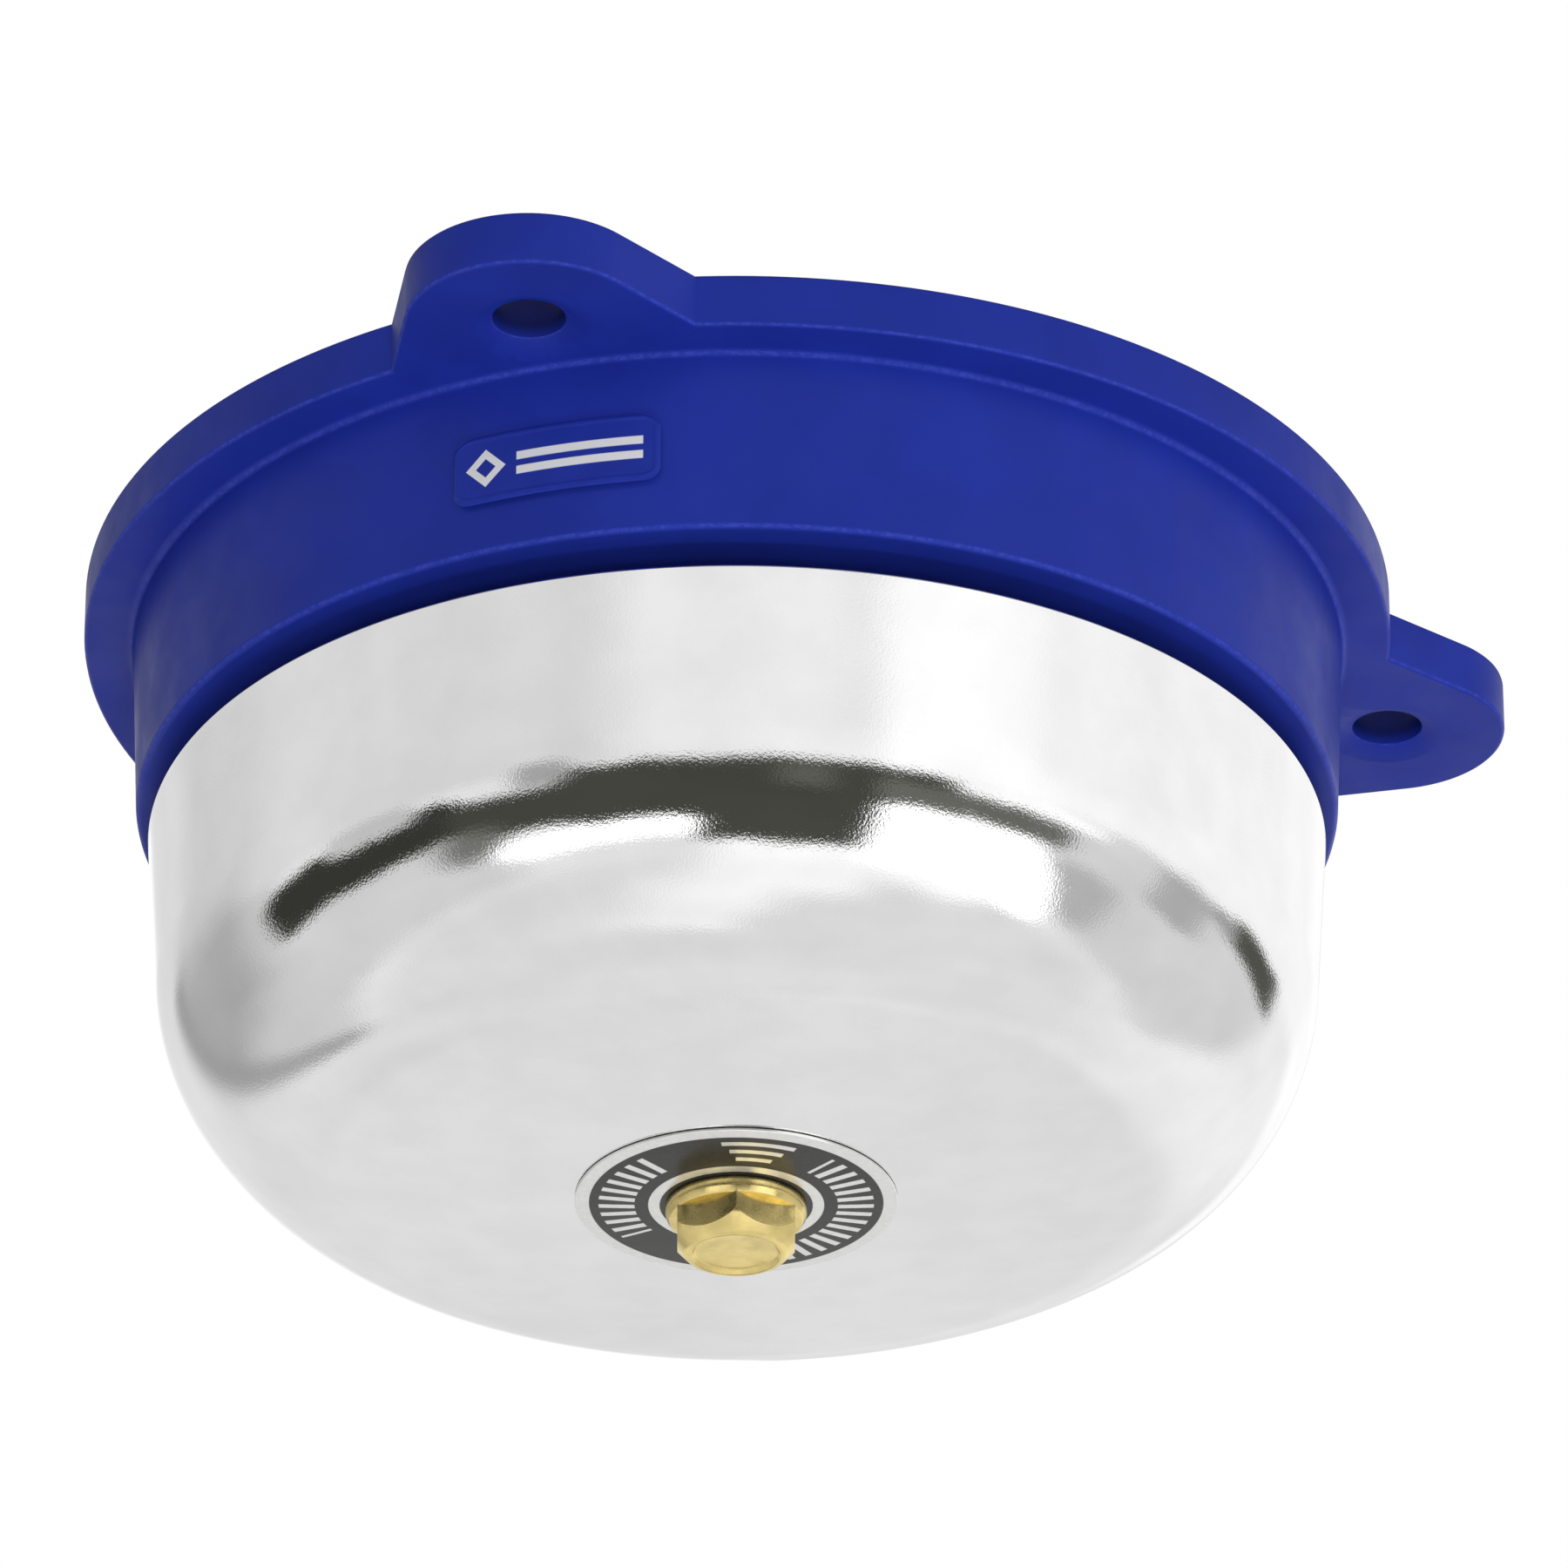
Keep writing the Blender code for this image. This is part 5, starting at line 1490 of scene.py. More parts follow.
@dataclass
class Gong:
    """The pressed gong: a leaning wall, a round shoulder and a flat crown, with a rolled rim."""

    rim_radius: float = 50.0
    rim_depth: float = 23.7
    lean: float = 3.96
    shoulder: float = 18.3
    crown: float = 260.0
    apex: float = 56.65
    sheet: float = 1.2
    hole: float = 3.3
    steps: int = 288

    def skin(self, inset: float) -> Profile:
        """One surface of the gong, from its rim to the bolt hole.

        Args:
            inset: how far it lies inside the outer surface.

        Returns:
            Its points as radius and depth.
        """
        lean = math.radians(self.lean)
        crown_centre = Vector((0.0, self.apex - self.crown))
        rim = Vector((self.rim_radius, self.rim_depth))
        along = Vector((-math.sin(lean), math.cos(lean)))
        inward = Vector((-math.cos(lean), -math.sin(lean)))
        start = rim + inward * self.shoulder - crown_centre
        reach = self.crown - self.shoulder
        half_turn = start.dot(along)
        wall = math.sqrt(half_turn**2 - start.length_squared + reach**2) - half_turn
        centre = rim + inward * self.shoulder + along * wall
        to_crown = centre - crown_centre
        crown_edge = math.atan2(to_crown.y, to_crown.x)
        first = Vector((self.rim_radius - inset / math.cos(lean), self.rim_depth))
        wall_points = [tuple(first + along * (wall * step / 10)) for step in range(10)]
        shoulder = arc(centre, self.shoulder - inset, lean, crown_edge, 48)
        hole_edge = math.acos(self.hole / (self.crown - inset))
        top = arc(crown_centre, self.crown - inset, crown_edge, hole_edge, 14)
        return [*wall_points, *shoulder, *top[1:]]

    def build(self) -> None:
        """Turn the gong and put it on the frame."""
        outer, inner = self.skin(0.0), self.skin(self.sheet)
        edge = 0.28
        first, last = outer[0], inner[0]
        rim = rounded([(first[0], first[1] + 1.0), (*first, edge), (*last, edge), (last[0], last[1] + 1.0)])
        section = [*outer[1:], *inner[:0:-1], *reversed(rim[1:-1])]
        mesh = Lathe().turn(section, Slot.PLATED_GONG, self.steps)
        fit("polished_gong", mesh, Slot.PLATED_GONG, ("gong",))


@dataclass
class GongLabel:
    """The round printed label, which follows the crown."""

    radius: float = 13.5
    hole: float = 3.3
    crown: float = 260.0
    apex: float = 56.65
    gap: float = 0.08
    thickness: float = 0.22

    def build(self) -> None:
        """Turn the disc and put it on the frame."""
        centre = (0.0, self.apex - self.crown)
        back = self.crown + self.gap
        front = back + self.thickness
        under = arc(centre, back, math.acos(self.hole / back), math.acos(self.radius / back), 12)
        rim = math.acos((self.radius - 0.06) / front)
        over = arc(centre, front, rim, math.acos(self.hole / front), 12)
        side = (self.radius, over[0][1] - 0.07)
        mesh = Lathe().turn([*under, side, *over], Slot.LABEL_PLATE, 180)
        fit("printed_label", mesh, Slot.LABEL_PLATE, ("gong_label",))


@dataclass
class GongBolt:
    """The brass flange bolt that holds the gong, with a chamfered hexagon and a dished face."""

    seat: float = 56.91
    flange: float = 5.9
    flange_thickness: float = 1.39
    across_flats: float = 9.8
    height: float = 3.2
    thread: float = 3.0
    thread_length: float = 15.86
    pitch: float = 1.0

    def build(self) -> None:
        """Make the bolt and put it on the frame."""
        brass = Slot.BRASS
        front = self.seat + self.flange_thickness + self.height
        corner = self.across_flats / math.sqrt(3)
        chamfer = [
            (0.0, self.seat + 0.4),
            (corner + 0.2, self.seat + 0.4),
            (corner + 0.2, front - 2.25),
            (corner - 0.20, front - 1.45, 1.6),
            (self.across_flats / 2 - 0.75, front, 0.9),
            (3.80, front, 0.2),
            (3.40, front - 0.38, 0.35),
            (0.0, front - 0.50),
        ]
        limit = Lathe().turn(rounded(chamfer), brass, 120)
        head = common(prism(hexagon(self.across_flats), self.seat + 0.3, front + 1.0), limit)
        start = self.seat - self.thread_length
        threads = []
        for turn in range(int(self.thread_length / self.pitch) - 2):
            along = start + 0.6 + turn * self.pitch
            threads += [(self.thread - 0.55, along), (self.thread, along + self.pitch / 2)]
        section = [
            (0.0, start),
            (self.thread - 0.7, start, 0.1),
            *threads,
            (self.thread - 0.1, self.seat - 1.4),
            (self.thread, self.seat, 0.05),
            (self.flange, self.seat, 0.2),
            (self.flange, self.seat + self.flange_thickness * 0.6, 0.25),
            (corner - 0.1, self.seat + self.flange_thickness, 0.2),
            (0.0, self.seat + self.flange_thickness),
        ]
        body = Lathe().turn(rounded(section), brass, 120)
        fit("gong_flange_bolt", worked(body, [head], []), brass, ("gong_bolt",))


@dataclass
class DeckPlate:
    """The steel plate on the deck with its screws, and the post that carries the gong."""

    back: float = 21.2
    front: float = 22.7
    radius: float = 38.0
    middle_hole: float = 4.3
    screw_hole: float = 1.7
    lead_hole: tuple[float, float, float] = (-14.1, -6.0, 3.2)  # x, y and radius
    post: float = 5.0
    stem: float = 4.0
    tapping: float = 3.3  # the radius of the post's tapped hole
    tapping_depth: float = 15.0
    nut_flats: float = 13.0
    washer: float = 7.5
    seat_washer: float = 6.5

    def build(self) -> None:
        """Make the plate, its screws, the post, its washers and its nut."""
        zinc = Slot.ZINC_STEEL
        corners = [
            (self.middle_hole, self.back),
            (self.radius, self.back, 0.2),
            (self.radius, self.front, 0.2),
            (self.middle_hole, self.front),
        ]
        plate = Lathe().turn(rounded(corners), zinc, 160)
        below, above = self.back - 1, self.front + 1
        holes = [
            rod((x, y, below), (x, y, above), self.screw_hole, 32) for x, y in (*PLATE_SCREWS, *YOKE_EARS)
        ]
        x, y, radius = self.lead_hole
        holes.append(rod((x, y, below), (x, y, above), radius))
        fit("deck_plate", worked(plate, [], holes), zinc, ("mechanism_plate",))
        places = [(x, y, self.front + 0.3) for x, y in PLATE_SCREWS]
        screws = ScrewSetter().set(Screw(length=6.5).mesh(zinc), places, zinc, 5)
        fit("deck_plate_screws", screws, zinc, ("plate_screw_1", "plate_screw_2", "plate_screw_3"))
        self.build_post()

    def build_post(self) -> None:
        """Make the post with its washers and nut."""
        zinc = Slot.ZINC_STEEL
        low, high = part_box("gong_post")
        end, start = -high.z / MM, -low.z / MM
        shoulder = self.front + 0.3
        section = [
            (0.0, end),
            (self.stem, end, 0.5),
            (self.stem, shoulder, 0.2),
            (self.post, shoulder, 0.3),
            (self.post, start, 0.3),
            (self.tapping, start, 0.2),
            (self.tapping, start - self.tapping_depth),
            (0.0, start - self.tapping_depth),
        ]
        fit("turned_post", Lathe().turn(rounded(section), zinc, 96), zinc, ("gong_post",))
        for node, radius, hole, slot in (
            ("post_washer", self.washer, self.middle_hole, zinc),
            ("gong_seat_washer", self.seat_washer, self.tapping, Slot.RED_FIBRE),
        ):
            low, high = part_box(node)
            back, front = -high.z / MM, -low.z / MM
            ring = [(hole, back, 0.1), (radius, back, 0.2), (radius, front, 0.2), (hole, front, 0.1)]
            fit(f"{node}_ring", Lathe().turn(rounded(ring), slot, 96), slot, (node,))
        low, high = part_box("post_nut")
        back, front = -high.z / MM, -low.z / MM
        face, corner, chamfer = 6.4, 7.55, 0.7
        bevel = [(0.0, back), (face, back), (corner, back + chamfer)]
        bevel += [(corner, front - chamfer), (face, front), (0.0, front)]
        nut = common(prism(hexagon(self.nut_flats), back - 1, front + 1), Lathe().turn(bevel, zinc, 96))
        bore = rod((0.0, 0.0, back - 1), (0.0, 0.0, front + 1), self.middle_hole, 64)
        fit("post_hex_nut", worked(nut, [], [bore]), zinc, ("post_nut",))


@dataclass
class Solenoid:
    """The coil in its yoke: a nylon bobbin, wound wire and a band of tape."""

    half_length: float = 14.7
    flange: float = 9.7
    flange_thickness: float = 1.2
    bore: float = 4.6
    barrel: float = 5.5
    winding_inner: float = 5.8
    winding_outer: float = 8.5
    winding_half: float = 13.2
    wire: float = 0.20
    tape_inner: float = 8.8
    tape_outer: float = 9.2
    sheet: float = 2.0
    half_width: float = 8.0
    ear: float = 4.5  # half an ear's width
    ear_reach: float = 3.5  # from its screw to its end
    bend: float = 0.3
    screw_hole: float = 1.7

    def sleeve(self, inner: float, outer: float, half: float, edge: float) -> Profile:
        """The section of a sleeve about the middle of the coil."""
        return rounded([(outer, -half, edge), (outer, half, edge), (inner, half), (inner, -half)])

    def build(self) -> None:
        """Make the yoke, the bobbin, the winding and the tape."""
        face = self.half_length - self.flange_thickness
        spool = [
            (self.flange, -self.half_length, 0.2),
            (self.flange, -face, 0.2),
            (self.barrel, -face, 0.3),
            (self.barrel, face, 0.3),
            (self.flange, face, 0.2),
            (self.flange, self.half_length, 0.2),
            (self.bore, self.half_length, 0.25),
            (self.bore, -self.half_length, 0.25),
        ]
        bobbin = Lathe().turn(rounded(spool), Slot.WHITE_NYLON, 96, Axis.COIL)
        fit("nylon_bobbin", bobbin, Slot.WHITE_NYLON, ("coil_bobbin",))
        core_outer = self.winding_outer - 2 * self.wire
        core = self.sleeve(self.winding_inner, core_outer, self.winding_half - 0.05, 0.2)
        layers = [Lathe().turn(core, Slot.COPPER_WIRE, 72, Axis.COIL)]
        span = self.winding_half - self.wire
        turns = math.floor(2 * span / (2 * self.wire * 1.02))
        middle = self.winding_outer - self.wire
        layers.append(WireWinder().wind(turns, middle, -span, span, self.wire, 28, Slot.COPPER_WIRE))
        fit("wound_wire", gathered(layers), Slot.COPPER_WIRE, ("coil_winding",))
        tape = self.sleeve(self.tape_inner, self.tape_outer, self.winding_half, 0.12)
        band = Lathe().turn(tape, Slot.YELLOW_TAPE, 96, Axis.COIL)
        fit("coil_tape_band", band, Slot.YELLOW_TAPE, ("coil_tape",))
        self.build_yoke()

    def build_yoke(self) -> None:
        """Fold the yoke from sheet, with rounded edges, two ears and their screws."""
        zinc = Slot.ZINC_STEEL
        low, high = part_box("solenoid_yoke")
        half, back, front = high.x / MM, -high.z / MM, -low.z / MM
        axis = middle_of("coil_winding")
        sheet, near, far = self.sheet, axis.y - self.half_width, axis.y + self.half_width
        floor = brick((-half, near, back), (half, far, back + sheet), self.bend)
        parts = []
        for side, (ear_x, ear_y) in zip((-1, 1), YOKE_EARS):
            low_x, high_x = sorted((side * (half - sheet), side * half))
            parts.append(brick((low_x, near, back + 0.02), (high_x, far, front), self.bend))
            low_y, high_y = sorted((axis.y, ear_y + side * self.ear_reach))
            start = (ear_x - self.ear, low_y, back + 0.01)
            end = (ear_x + self.ear, high_y, back + sheet - 0.01)
            parts.append(brick(start, end, self.bend))
        cut = [rod((-half - 1, axis.y, -axis.z), (half + 1, axis.y, -axis.z), self.bore, 64)]
        for x, y in YOKE_EARS:
            cut.append(rod((x, y, back - 1), (x, y, back + sheet + 1), self.screw_hole, 32))
        fit("folded_yoke", worked(floor, parts, cut), zinc, ("solenoid_yoke",))
        screw = Screw(length=4.2).mesh(zinc)
        places = [(x, y, back + sheet + 0.3) for x, y in YOKE_EARS]
        nodes = ("yoke_screw_1", "yoke_screw_2")
        fit("yoke_screws", ScrewSetter().set(screw, places, zinc, 7), zinc, nodes)


@dataclass
class Striker:
    """The sliding plunger with its rod, head, clip and spring's retainer, and the spring itself."""

    plunger: float = 4.2
    rod: float = 2.0
    head: float = 4.0
    socket: float = 0.3  # how much wider the rod's sockets are than the rod
    travel: float = 3.5
    spring_wire: float = 0.35
    spring_radius: float = 5.5
    spring_turns: float = 4.0

    def build(self) -> None:
        """Make the moving pieces, the spring that returns them and the washer that they rest on."""
        iron, brass, spring = Slot.BARE_IRON, Slot.BRASS, Slot.SPRING_STEEL
        low, high = (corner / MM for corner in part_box("plunger"))
        section = [
            (0.0, low.x),
            (self.plunger, low.x, 0.5),
            (self.plunger, high.x, 0.5),
            (self.rod + self.socket, high.x, 0.2),
            (self.rod + self.socket, high.x - 6.0),
            (0.0, high.x - 6.0),
        ]
        self.add("iron_plunger", section, iron, "plunger")
        low, high = (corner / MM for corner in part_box("striker_rod"))
        bar = [(0.0, low.x), (self.rod, low.x, 0.3), (self.rod, high.x, 0.3), (0.0, high.x)]
        self.add("brass_rod", bar, brass, "striker_rod")
        low, high = (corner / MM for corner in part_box("striker_head"))
        dome = arc((high.x - self.head, 0.0), self.head, math.pi / 2, 0.0, 14)
        head = [
            (0.0, low.x + 4.0),
            (self.rod + self.socket, low.x + 4.0),
            (self.rod + self.socket, low.x, 0.2),
            (self.head, low.x, 0.4),
            *[(across, along) for along, across in dome[:-1]],
            (0.0, high.x),
        ]
        self.add("iron_head", head, iron, "striker_head")
        for name, node, inner, slot in (
            ("steel_clip", "striker_clip", 2.3, spring),
            ("retainer_washer", "spring_retainer", 4.5, Slot.ZINC_STEEL),
            ("rubber_buffer", "buffer_washer", 2.3, Slot.BLACK_RUBBER),
        ):
            low, high = (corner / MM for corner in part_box(node))
            outer = (high.y - low.y) / 2
            ring = [(inner, low.x, 0.12), (outer, low.x, 0.2), (outer, high.x, 0.2), (inner, high.x, 0.12)]
            body = Body.BASE if node == "buffer_washer" else Body.STRIKER
            self.add(name, ring, slot, node, body)
        low, high = (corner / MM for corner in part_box("return_spring"))
        wire = self.spring_wire
        ends = (low.x + wire, high.x - wire)
        mesh = WireWinder().wind(self.spring_turns, self.spring_radius, *ends, wire, 48, spring)
        coil = fit("coiled_spring", mesh, spring, ("return_spring",))
        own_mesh(coil)

    def add(self, name: str, section: list[Corner], slot: Slot, node: str, body: Body = Body.STRIKER) -> None:
        """Turn a piece on the coil's axis and put it on the frame.

        Args:
            name: the piece's name.
            section: its corners as radius and x.
            slot: its finish.
            node: the node that it stands for.
            body: the body that it moves with.
        """
        fit(name, Lathe().turn(rounded(section), slot, 72, Axis.COIL), slot, (node,), body)


@dataclass
class Wiring:
    """The terminal block with its barrels and screws, the two sleeved leads and the cable's grommet."""

    block_edge: float = 0.5
    pockets: tuple[float, float] = (-6.0, 6.0)
    pocket: float = 2.8
    well: float = 1.9
    well_spread: float = 2.7
    screw_hole: float = 1.7
    groove: float = 0.35
    grooves: tuple[float, float] = (-2.4, 2.4)

    def build(self) -> None:
        """Make the wiring's pieces and dress the ones kept as packed."""
        self.build_block()
        self.build_grommet()
        dress("coil_lead_1", Slot.RED_SLEEVE)
        dress("coil_lead_2", Slot.BLACK_SLEEVE)
        dress("terminal_barrel_1", Slot.BRASS)
        dress("terminal_barrel_2", Slot.BRASS)

    def build_block(self) -> None:
        """Make the block with its wells, pockets and ribs, its clamp screws and its fixing screw."""
        zinc = Slot.ZINC_STEEL
        low, high = (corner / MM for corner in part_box("terminal_block"))
        rear, front = -high.z, -low.z
        middle = middle_of("terminal_block")
        body = brick((low.x, low.y, rear), (high.x, high.y, front), self.block_edge)
        cut = [rod((0.0, middle.y, rear - 1), (0.0, middle.y, front + 1), self.screw_hole, 32)]
        wells = []
        before, behind, depth = low.y - 1, high.y + 1, -middle.z
        for x in self.pockets:
            left, right = x - self.pocket, x + self.pocket
            cut.append(brick((left, before, depth - 2.9), (right, behind, depth + 2.9)))
            for side in (-1, 1):
                y = middle.y + side * self.well_spread
                wells.append((x, y))
                cut.append(rod((x, y, rear - 1), (x, y, depth), self.well, 32))
        for x in self.grooves:
            cut.append(brick((x - self.groove, before, rear - 1), (x + self.groove, behind, rear + 0.8)))
        fit("nylon_terminal_block", worked(body, [], cut), Slot.WHITE_NYLON, ("terminal_block",))
        clamp_low, clamp_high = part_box("terminal_screw_1")
        top, tip = -clamp_high.z / MM, -clamp_low.z / MM
        head, shank, under = 1.6, 1.0, top + 1.2
        section = [(0.0, top), (head, top, 0.2), (head, under, 0.1)]
        section += [(shank, under), (shank, tip, 0.2), (0.0, tip)]
        clamp = Lathe().turn(rounded(section), zinc, 32)
        clamp = worked(clamp, [], [brick((-2.0, -0.22, top - 1), (2.0, 0.22, top + 0.55))])
        places = [(x, y, 0.0) for x, y in wells]
        nodes = tuple(f"terminal_screw_{number}" for number in (1, 2, 3, 4))
        fit("clamp_screws", ScrewSetter().set(clamp, places, zinc, 11), zinc, nodes)
        fixing = Screw(length=11.8).mesh(zinc)
        fixing.transform(Matrix.Rotation(math.pi, 4, "X"))
        seat = [(0.0, middle.y, rear - 0.3)]
        mesh = ScrewSetter().set(fixing, seat, zinc, 13)
        fit("block_fixing_screw", mesh, zinc, ("terminal_block_screw",))

    def build_grommet(self) -> None:
        """Turn the grommet, with soft lips and a groove that holds the drum's wall."""
        low, high = (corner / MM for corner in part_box("cable_grommet"))
        outer, neck, bore, lip = 6.0, 4.2, 3.1, 1.2
        section = [
            (outer, low.y, 0.35),
            (outer, low.y + lip, 0.3),
            (neck, low.y + lip, 0.15),
            (neck, high.y - lip, 0.15),
            (outer, high.y - lip, 0.3),
            (outer, high.y, 0.5),
            (bore + 0.6, high.y, 0.3),
            (bore, high.y - 0.7, 0.4),
            (bore, low.y, 0.4),
        ]
        mesh = Lathe().turn(rounded(section), Slot.BLACK_RUBBER, 72, Axis.INLET)
        fit("rubber_grommet", mesh, Slot.BLACK_RUBBER, ("cable_grommet",))


# --------------------------------------------------------------------------------------------------
# Studio
# --------------------------------------------------------------------------------------------------


@dataclass(frozen=True)
class Panel:
    """A panel of the studio as seen from the bell: degrees round from the front, and above the level."""

    left: float
    right: float
    low: float
    high: float
    grey: float  # how bright it is, where 255 is white
    soft: float = 2.0
    stretch: float = 1.0  # how much softer its sides are than its top
    corner: float = 1.0
    slant: float = 0.0  # how far the right side leans out for each degree down


@dataclass
class Studio:
    """Soft light all round from pale walls, with dark cards and two soft boxes in front, and a floor."""

    panels: tuple[Panel, ...] = (
        Panel(-200, 200, 30, 120, 135, 10, corner=4),
        Panel(-200, 200, -120, -48, 215, 8, corner=4),
        Panel(-200, -140, -50, 27, 216, 3, corner=4),
        Panel(-200, -164, 12, 32, 252, 8, corner=6),
        Panel(133, 200, -44, 30, 220, 8, corner=4),
        Panel(133, 164, -41, 30, 233, 10, corner=4),
        Panel(133, 172, 8, 30, 248, 6, corner=4),
        Panel(-140, -98, -43, 27, 199, 6, 1.5, corner=4),
        Panel(-142, -110, -20, 12, 164, 18, 1.0, corner=8),
        Panel(-106, -18, 4, 27, 211, 5, 3.0, corner=4),
        Panel(-22, 34, 3, 27, 231, 5, 3.0, corner=4),
        Panel(27, 66, 2, 27, 253, 4, 2.0, corner=4),
        Panel(60, 136, 3, 27, 242, 4, 3.0, corner=4),
        Panel(-104, -50, -45, -14, 204, 8, 2.0, corner=6),
        Panel(62, 133, -42, 2, 206, 4, 1.5, corner=4),
        Panel(88, 103, -16, 1, 168, 3, 1.5, corner=2),
        Panel(62, 82, -41, -18, 174, 8, 1.0, corner=4, slant=0.3),
        Panel(-4, 66, -54, -38, 253, 9, 1.5, corner=5),
        Panel(-12, 40, -66, -48, 250, 14, 2.0, corner=8),
        Panel(-34, 20, -80, -60, 245, 18, 2.5, corner=8),
        Panel(-80, 0, -95, -74, 240, 18, 3.0, corner=8),
        Panel(-143, -136, -44, 14, 156, 5, corner=3),
        Panel(-103, -52, -17.6, 0.3, 55, 1.8, corner=5),
        Panel(-83, -63, -4.5, 5, 190, 2.0, corner=3),
        Panel(-57, -28, -24, -4.5, 68, 4.0, corner=4),
        Panel(-62, -48, -31, -18, 110, 9, corner=4),
        Panel(-34, 29, -28, 1.6, 68, 3.4, corner=3),
        Panel(-42, -31, -3, 7, 160, 4, corner=3),
        Panel(-8, 30, -41, -18, 70, 2.4, corner=4),
        Panel(8, 18, -12, -1, 92, 6, corner=2),
        Panel(26, 44, -15.5, 0.5, 72, 2.4, corner=2),
        Panel(27, 67, -14.5, -4.4, 100, 3.0, corner=2),
        Panel(42, 74, -3.6, 1.8, 253, 1.8, 2.0, corner=1.5),
        Panel(-52, -7.5, -37.5, -27.0, 285, 2.0, 1.5, corner=5),
        Panel(28, 62, -47, -15.5, 285, 2.4, 1.2, corner=3, slant=0.62),
        Panel(111, 131, -3, 6, 80, 1.8, corner=1.5),
        Panel(103, 112, -3, 2, 150, 4, corner=2),
    )
    lamps: tuple[tuple[float, float, float], ...] = (  # degrees round and up, and watts
        (2.0, -29.0, 6.5),
        (12.0, -68.0, 7.5),
        (66.0, -12.0, 3.5),
    )
    lamp_distance: float = 1.5
    lamp_size: float = 0.5
    fill: float = 0.6  # how much of the walls' light reaches the dull surfaces
    floor_depth: float = 1.4
    floor_size: float = 6.0
    target: tuple[float, float, float] = (0.0, 0.0, -0.030)
    facing: tuple[float, float, float] = (0.0, 0.8786, 0.4776)  # the way the camera looks
    distance: float = 0.88543
    shift: tuple[float, float] = (0.00399, 0.011593)  # right and up from the line to the target

    def panel_group(self) -> bpy.types.NodeTree:
        """The node group that lays one panel over the light so far.

        Returns:
            The group.
        """
        tree = bpy.data.node_groups.new("studio_panel", "ShaderNodeTree")
        labels = ("Under", "Round", "Up", "Left", "Right", "Low", "High", "Level")
        for label in (*labels, "Soft", "Stretch", "Corner", "Slant"):
            tree.interface.new_socket(label, in_out="INPUT", socket_type="NodeSocketFloat")
        tree.interface.new_socket("Light", in_out="OUTPUT", socket_type="NodeSocketFloat")
        graph = Graph(tree)
        given = graph.add("NodeGroupInput").outputs
        down = graph.math("SUBTRACT", given["High"], given["Up"])
        right = graph.math("ADD", given["Right"], graph.math("MULTIPLY", down, given["Slant"]))
        aside = graph.math(
            "MAXIMUM",
            graph.math("SUBTRACT", given["Left"], given["Round"]),
            graph.math("SUBTRACT", given["Round"], right),
        )
        aside = graph.math("ADD", graph.math("DIVIDE", aside, given["Stretch"]), given["Corner"])
        above = graph.math(
            "MAXIMUM",
            graph.math("SUBTRACT", given["Low"], given["Up"]),
            graph.math("SUBTRACT", given["Up"], given["High"]),
        )
        above = graph.math("ADD", above, given["Corner"])
        beyond = {0: graph.math("MAXIMUM", aside, 0.0), 1: graph.math("MAXIMUM", above, 0.0)}
        out = {0: graph.add("ShaderNodeCombineXYZ", beyond).outputs[0]}
        outside = graph.add("ShaderNodeVectorMath", out, operation="LENGTH").outputs["Value"]
        inside = graph.math("MINIMUM", graph.math("MAXIMUM", aside, above), 0.0)
        gap = graph.math("SUBTRACT", graph.math("ADD", outside, inside), given["Corner"])
        share = graph.spread(graph.math("DIVIDE", gap, given["Soft"]), -0.5, 0.5, 1.0, 0.0)
        change = graph.math("SUBTRACT", given["Level"], given["Under"])
        light = graph.math("ADD", given["Under"], graph.math("MULTIPLY", change, share))
        graph.add("NodeGroupOutput", {0: light})
        return tree

    def light(self) -> None:
        """Light the scene from all round, and show plain white behind the bell."""
        world = bpy.data.worlds.new("studio")
        bpy.context.scene.world = world
        world.use_nodes = True
        world.node_tree.nodes.clear()
        graph = Graph(world.node_tree)
        direction = graph.add("ShaderNodeTexCoord").outputs["Generated"]
        parts = graph.add("ShaderNodeSeparateXYZ", {0: direction}).outputs
        ahead = graph.math("MULTIPLY", parts[1], -1.0)
        round_about = graph.math("DEGREES", graph.math("ARCTAN2", parts[0], ahead))
        up = graph.math("DEGREES", graph.math("ARCSINE", parts[2]))
        sway = graph.noise(direction, 0.12, 3.0)
        up = graph.math("ADD", up, graph.spread(sway, 0.3, 0.7, -1.2, 1.2, smooth=False))
        group = self.panel_group()
        light: Value = self.level(224)
        for panel in self.panels:
            node = graph.add("ShaderNodeGroup", node_tree=group)
            sides = (light, round_about, up, panel.left, panel.right, panel.low, panel.high)
            edges = (panel.soft, panel.stretch, panel.corner, panel.slant)
            for socket, value in zip(node.inputs, (*sides, self.level(panel.grey), *edges)):
                graph.feed(socket, value)
            light = node.outputs[0]
        cloud = graph.spread(graph.noise(direction, 0.35, 4.0, 0.6), 0.3, 0.7, 0.94, 1.06, smooth=False)
        light = graph.math("MULTIPLY", light, cloud)
        warm = graph.math("MULTIPLY", light, graph.spread(light, 0.0, 0.35, 0.84, 1.0))
        tinted = graph.add("ShaderNodeCombineColor", {0: light, 1: light, 2: warm}).outputs[0]
        path = graph.add("ShaderNodeLightPath").outputs
        strength = graph.spread(path["Is Diffuse Ray"], 0.0, 1.0, 1.0, self.fill, smooth=False)
        around = graph.add("ShaderNodeBackground", {"Color": tinted, "Strength": strength}).outputs[0]
        behind = graph.add("ShaderNodeBackground", {"Color": (1.0, 1.0, 1.0, 1.0)}).outputs[0]
        shown = graph.add("ShaderNodeMixShader", {0: path["Is Camera Ray"], 1: around, 2: behind}).outputs[0]
        graph.add("ShaderNodeOutputWorld", {0: shown})

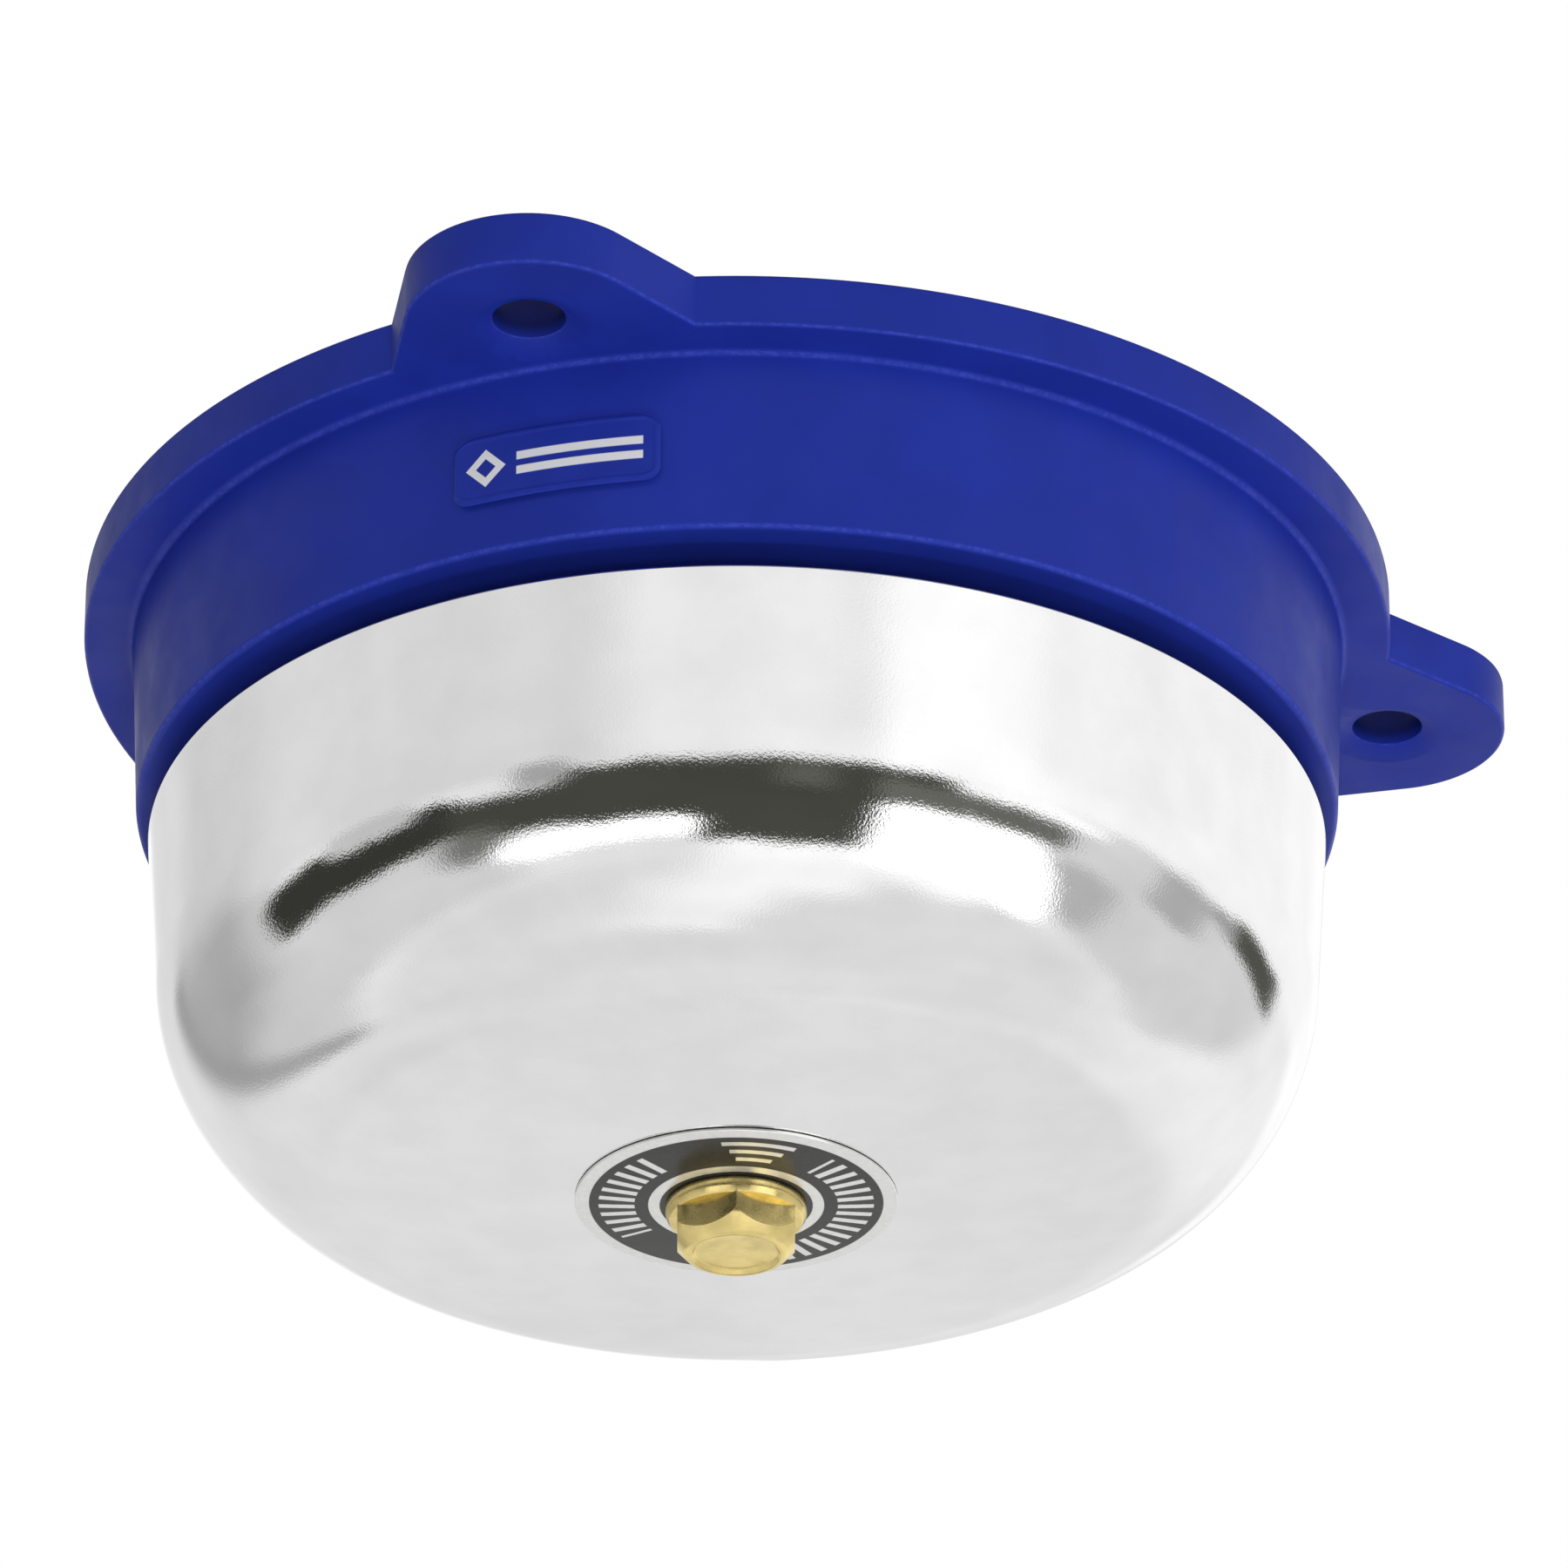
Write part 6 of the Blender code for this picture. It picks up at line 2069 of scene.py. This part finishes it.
    def hang_lamps(self) -> None:
        """Hang the square lamps that light the dull surfaces and don't show in the polished ones."""
        for number, (turn, up, power) in enumerate(self.lamps, 1):
            data = bpy.data.lights.new(f"soft_lamp_{number}", "AREA")
            data.energy = power
            data.size = self.lamp_size
            lamp = bpy.data.objects.new(data.name, data)
            bpy.context.scene.collection.objects.link(lamp)
            turn, up = math.radians(turn), math.radians(up)
            way = Vector((math.sin(turn) * math.cos(up), -math.cos(turn) * math.cos(up), math.sin(up)))
            lamp.location = way * self.lamp_distance + Vector(self.target)
            lamp.rotation_euler = way.to_track_quat("Z", "Y").to_euler()
            lamp.visible_glossy = False
            lamp.visible_camera = False

    def level(self, grey: float) -> float:
        """The light that a polished plate shows as this grey."""
        return (grey / 255.0) ** 2.2 / 0.9

    def lay_floor(self) -> None:
        """Lay a plain pale floor well below the bell."""
        shape = bmesh.new()
        matrix = Matrix.Translation((0.0, 0.0, -self.floor_depth))
        bmesh.ops.create_circle(shape, cap_ends=True, radius=self.floor_size, segments=96, matrix=matrix)
        mesh = bpy.data.meshes.new("pale_floor")
        shape.to_mesh(mesh)
        shape.free()
        floor = bpy.data.objects.new("pale_floor", mesh)
        color = (0.86, 0.86, 0.85)
        pale = Finish("pale_floor", color, 0.8, mottle=0.01, mottle_size=200.0, grain_height=0.0)
        mesh.materials.append(pale.material())
        bpy.context.scene.collection.objects.link(floor)
        floor.visible_glossy = False
        floor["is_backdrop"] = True

    def set_camera(self) -> None:
        """Set the camera in front of the bell and below it, looking up at the gong."""
        forward = Vector(self.facing).normalized()
        right = Vector((1.0, 0.0, 0.0))
        above = right.cross(forward)
        data = bpy.data.cameras.new("front_camera")
        data.lens = 240.0
        data.sensor_width = 36.0
        data.clip_start = 0.05
        data.clip_end = 20.0
        camera = bpy.data.objects.new("front_camera", data)
        bpy.context.scene.collection.objects.link(camera)
        aside, upward = self.shift
        spot = Vector(self.target) - forward * self.distance + right * aside + above * upward
        turn = Matrix((right, above, -forward)).transposed().to_4x4()
        camera.matrix_world = Matrix.Translation(spot) @ turn
        bpy.context.scene.camera = camera

    def build(self) -> None:
        """Set up the light, the floor, the camera and true colours."""
        self.light()
        self.hang_lamps()
        self.lay_floor()
        self.set_camera()
        bpy.context.scene.view_settings.view_transform = "Standard"
        log.info("studio: %d panels, floor %.1f m below", len(self.panels), self.floor_depth)


def main() -> None:
    """Build every sub-assembly in order, then the studio, and gather both boxes."""
    logging.basicConfig(level=logging.INFO, format="%(message)s")
    assemblies = (
        BaseHousing(), SideBadge(), BackCover(), Gong(), GongLabel(), GongBolt(), DeckPlate(), Solenoid(),
        Striker(), Wiring(),
    )
    for assembly in assemblies:
        log.info("building %s", type(assembly).__name__)
        assembly.build()
    Studio().build()
    boxes = {"cad": CAD_BOX, "visual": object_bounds()}
    plain = {name: [list(corner) for corner in box] for name, box in boxes.items()}


if __name__ == "__main__":
    main()
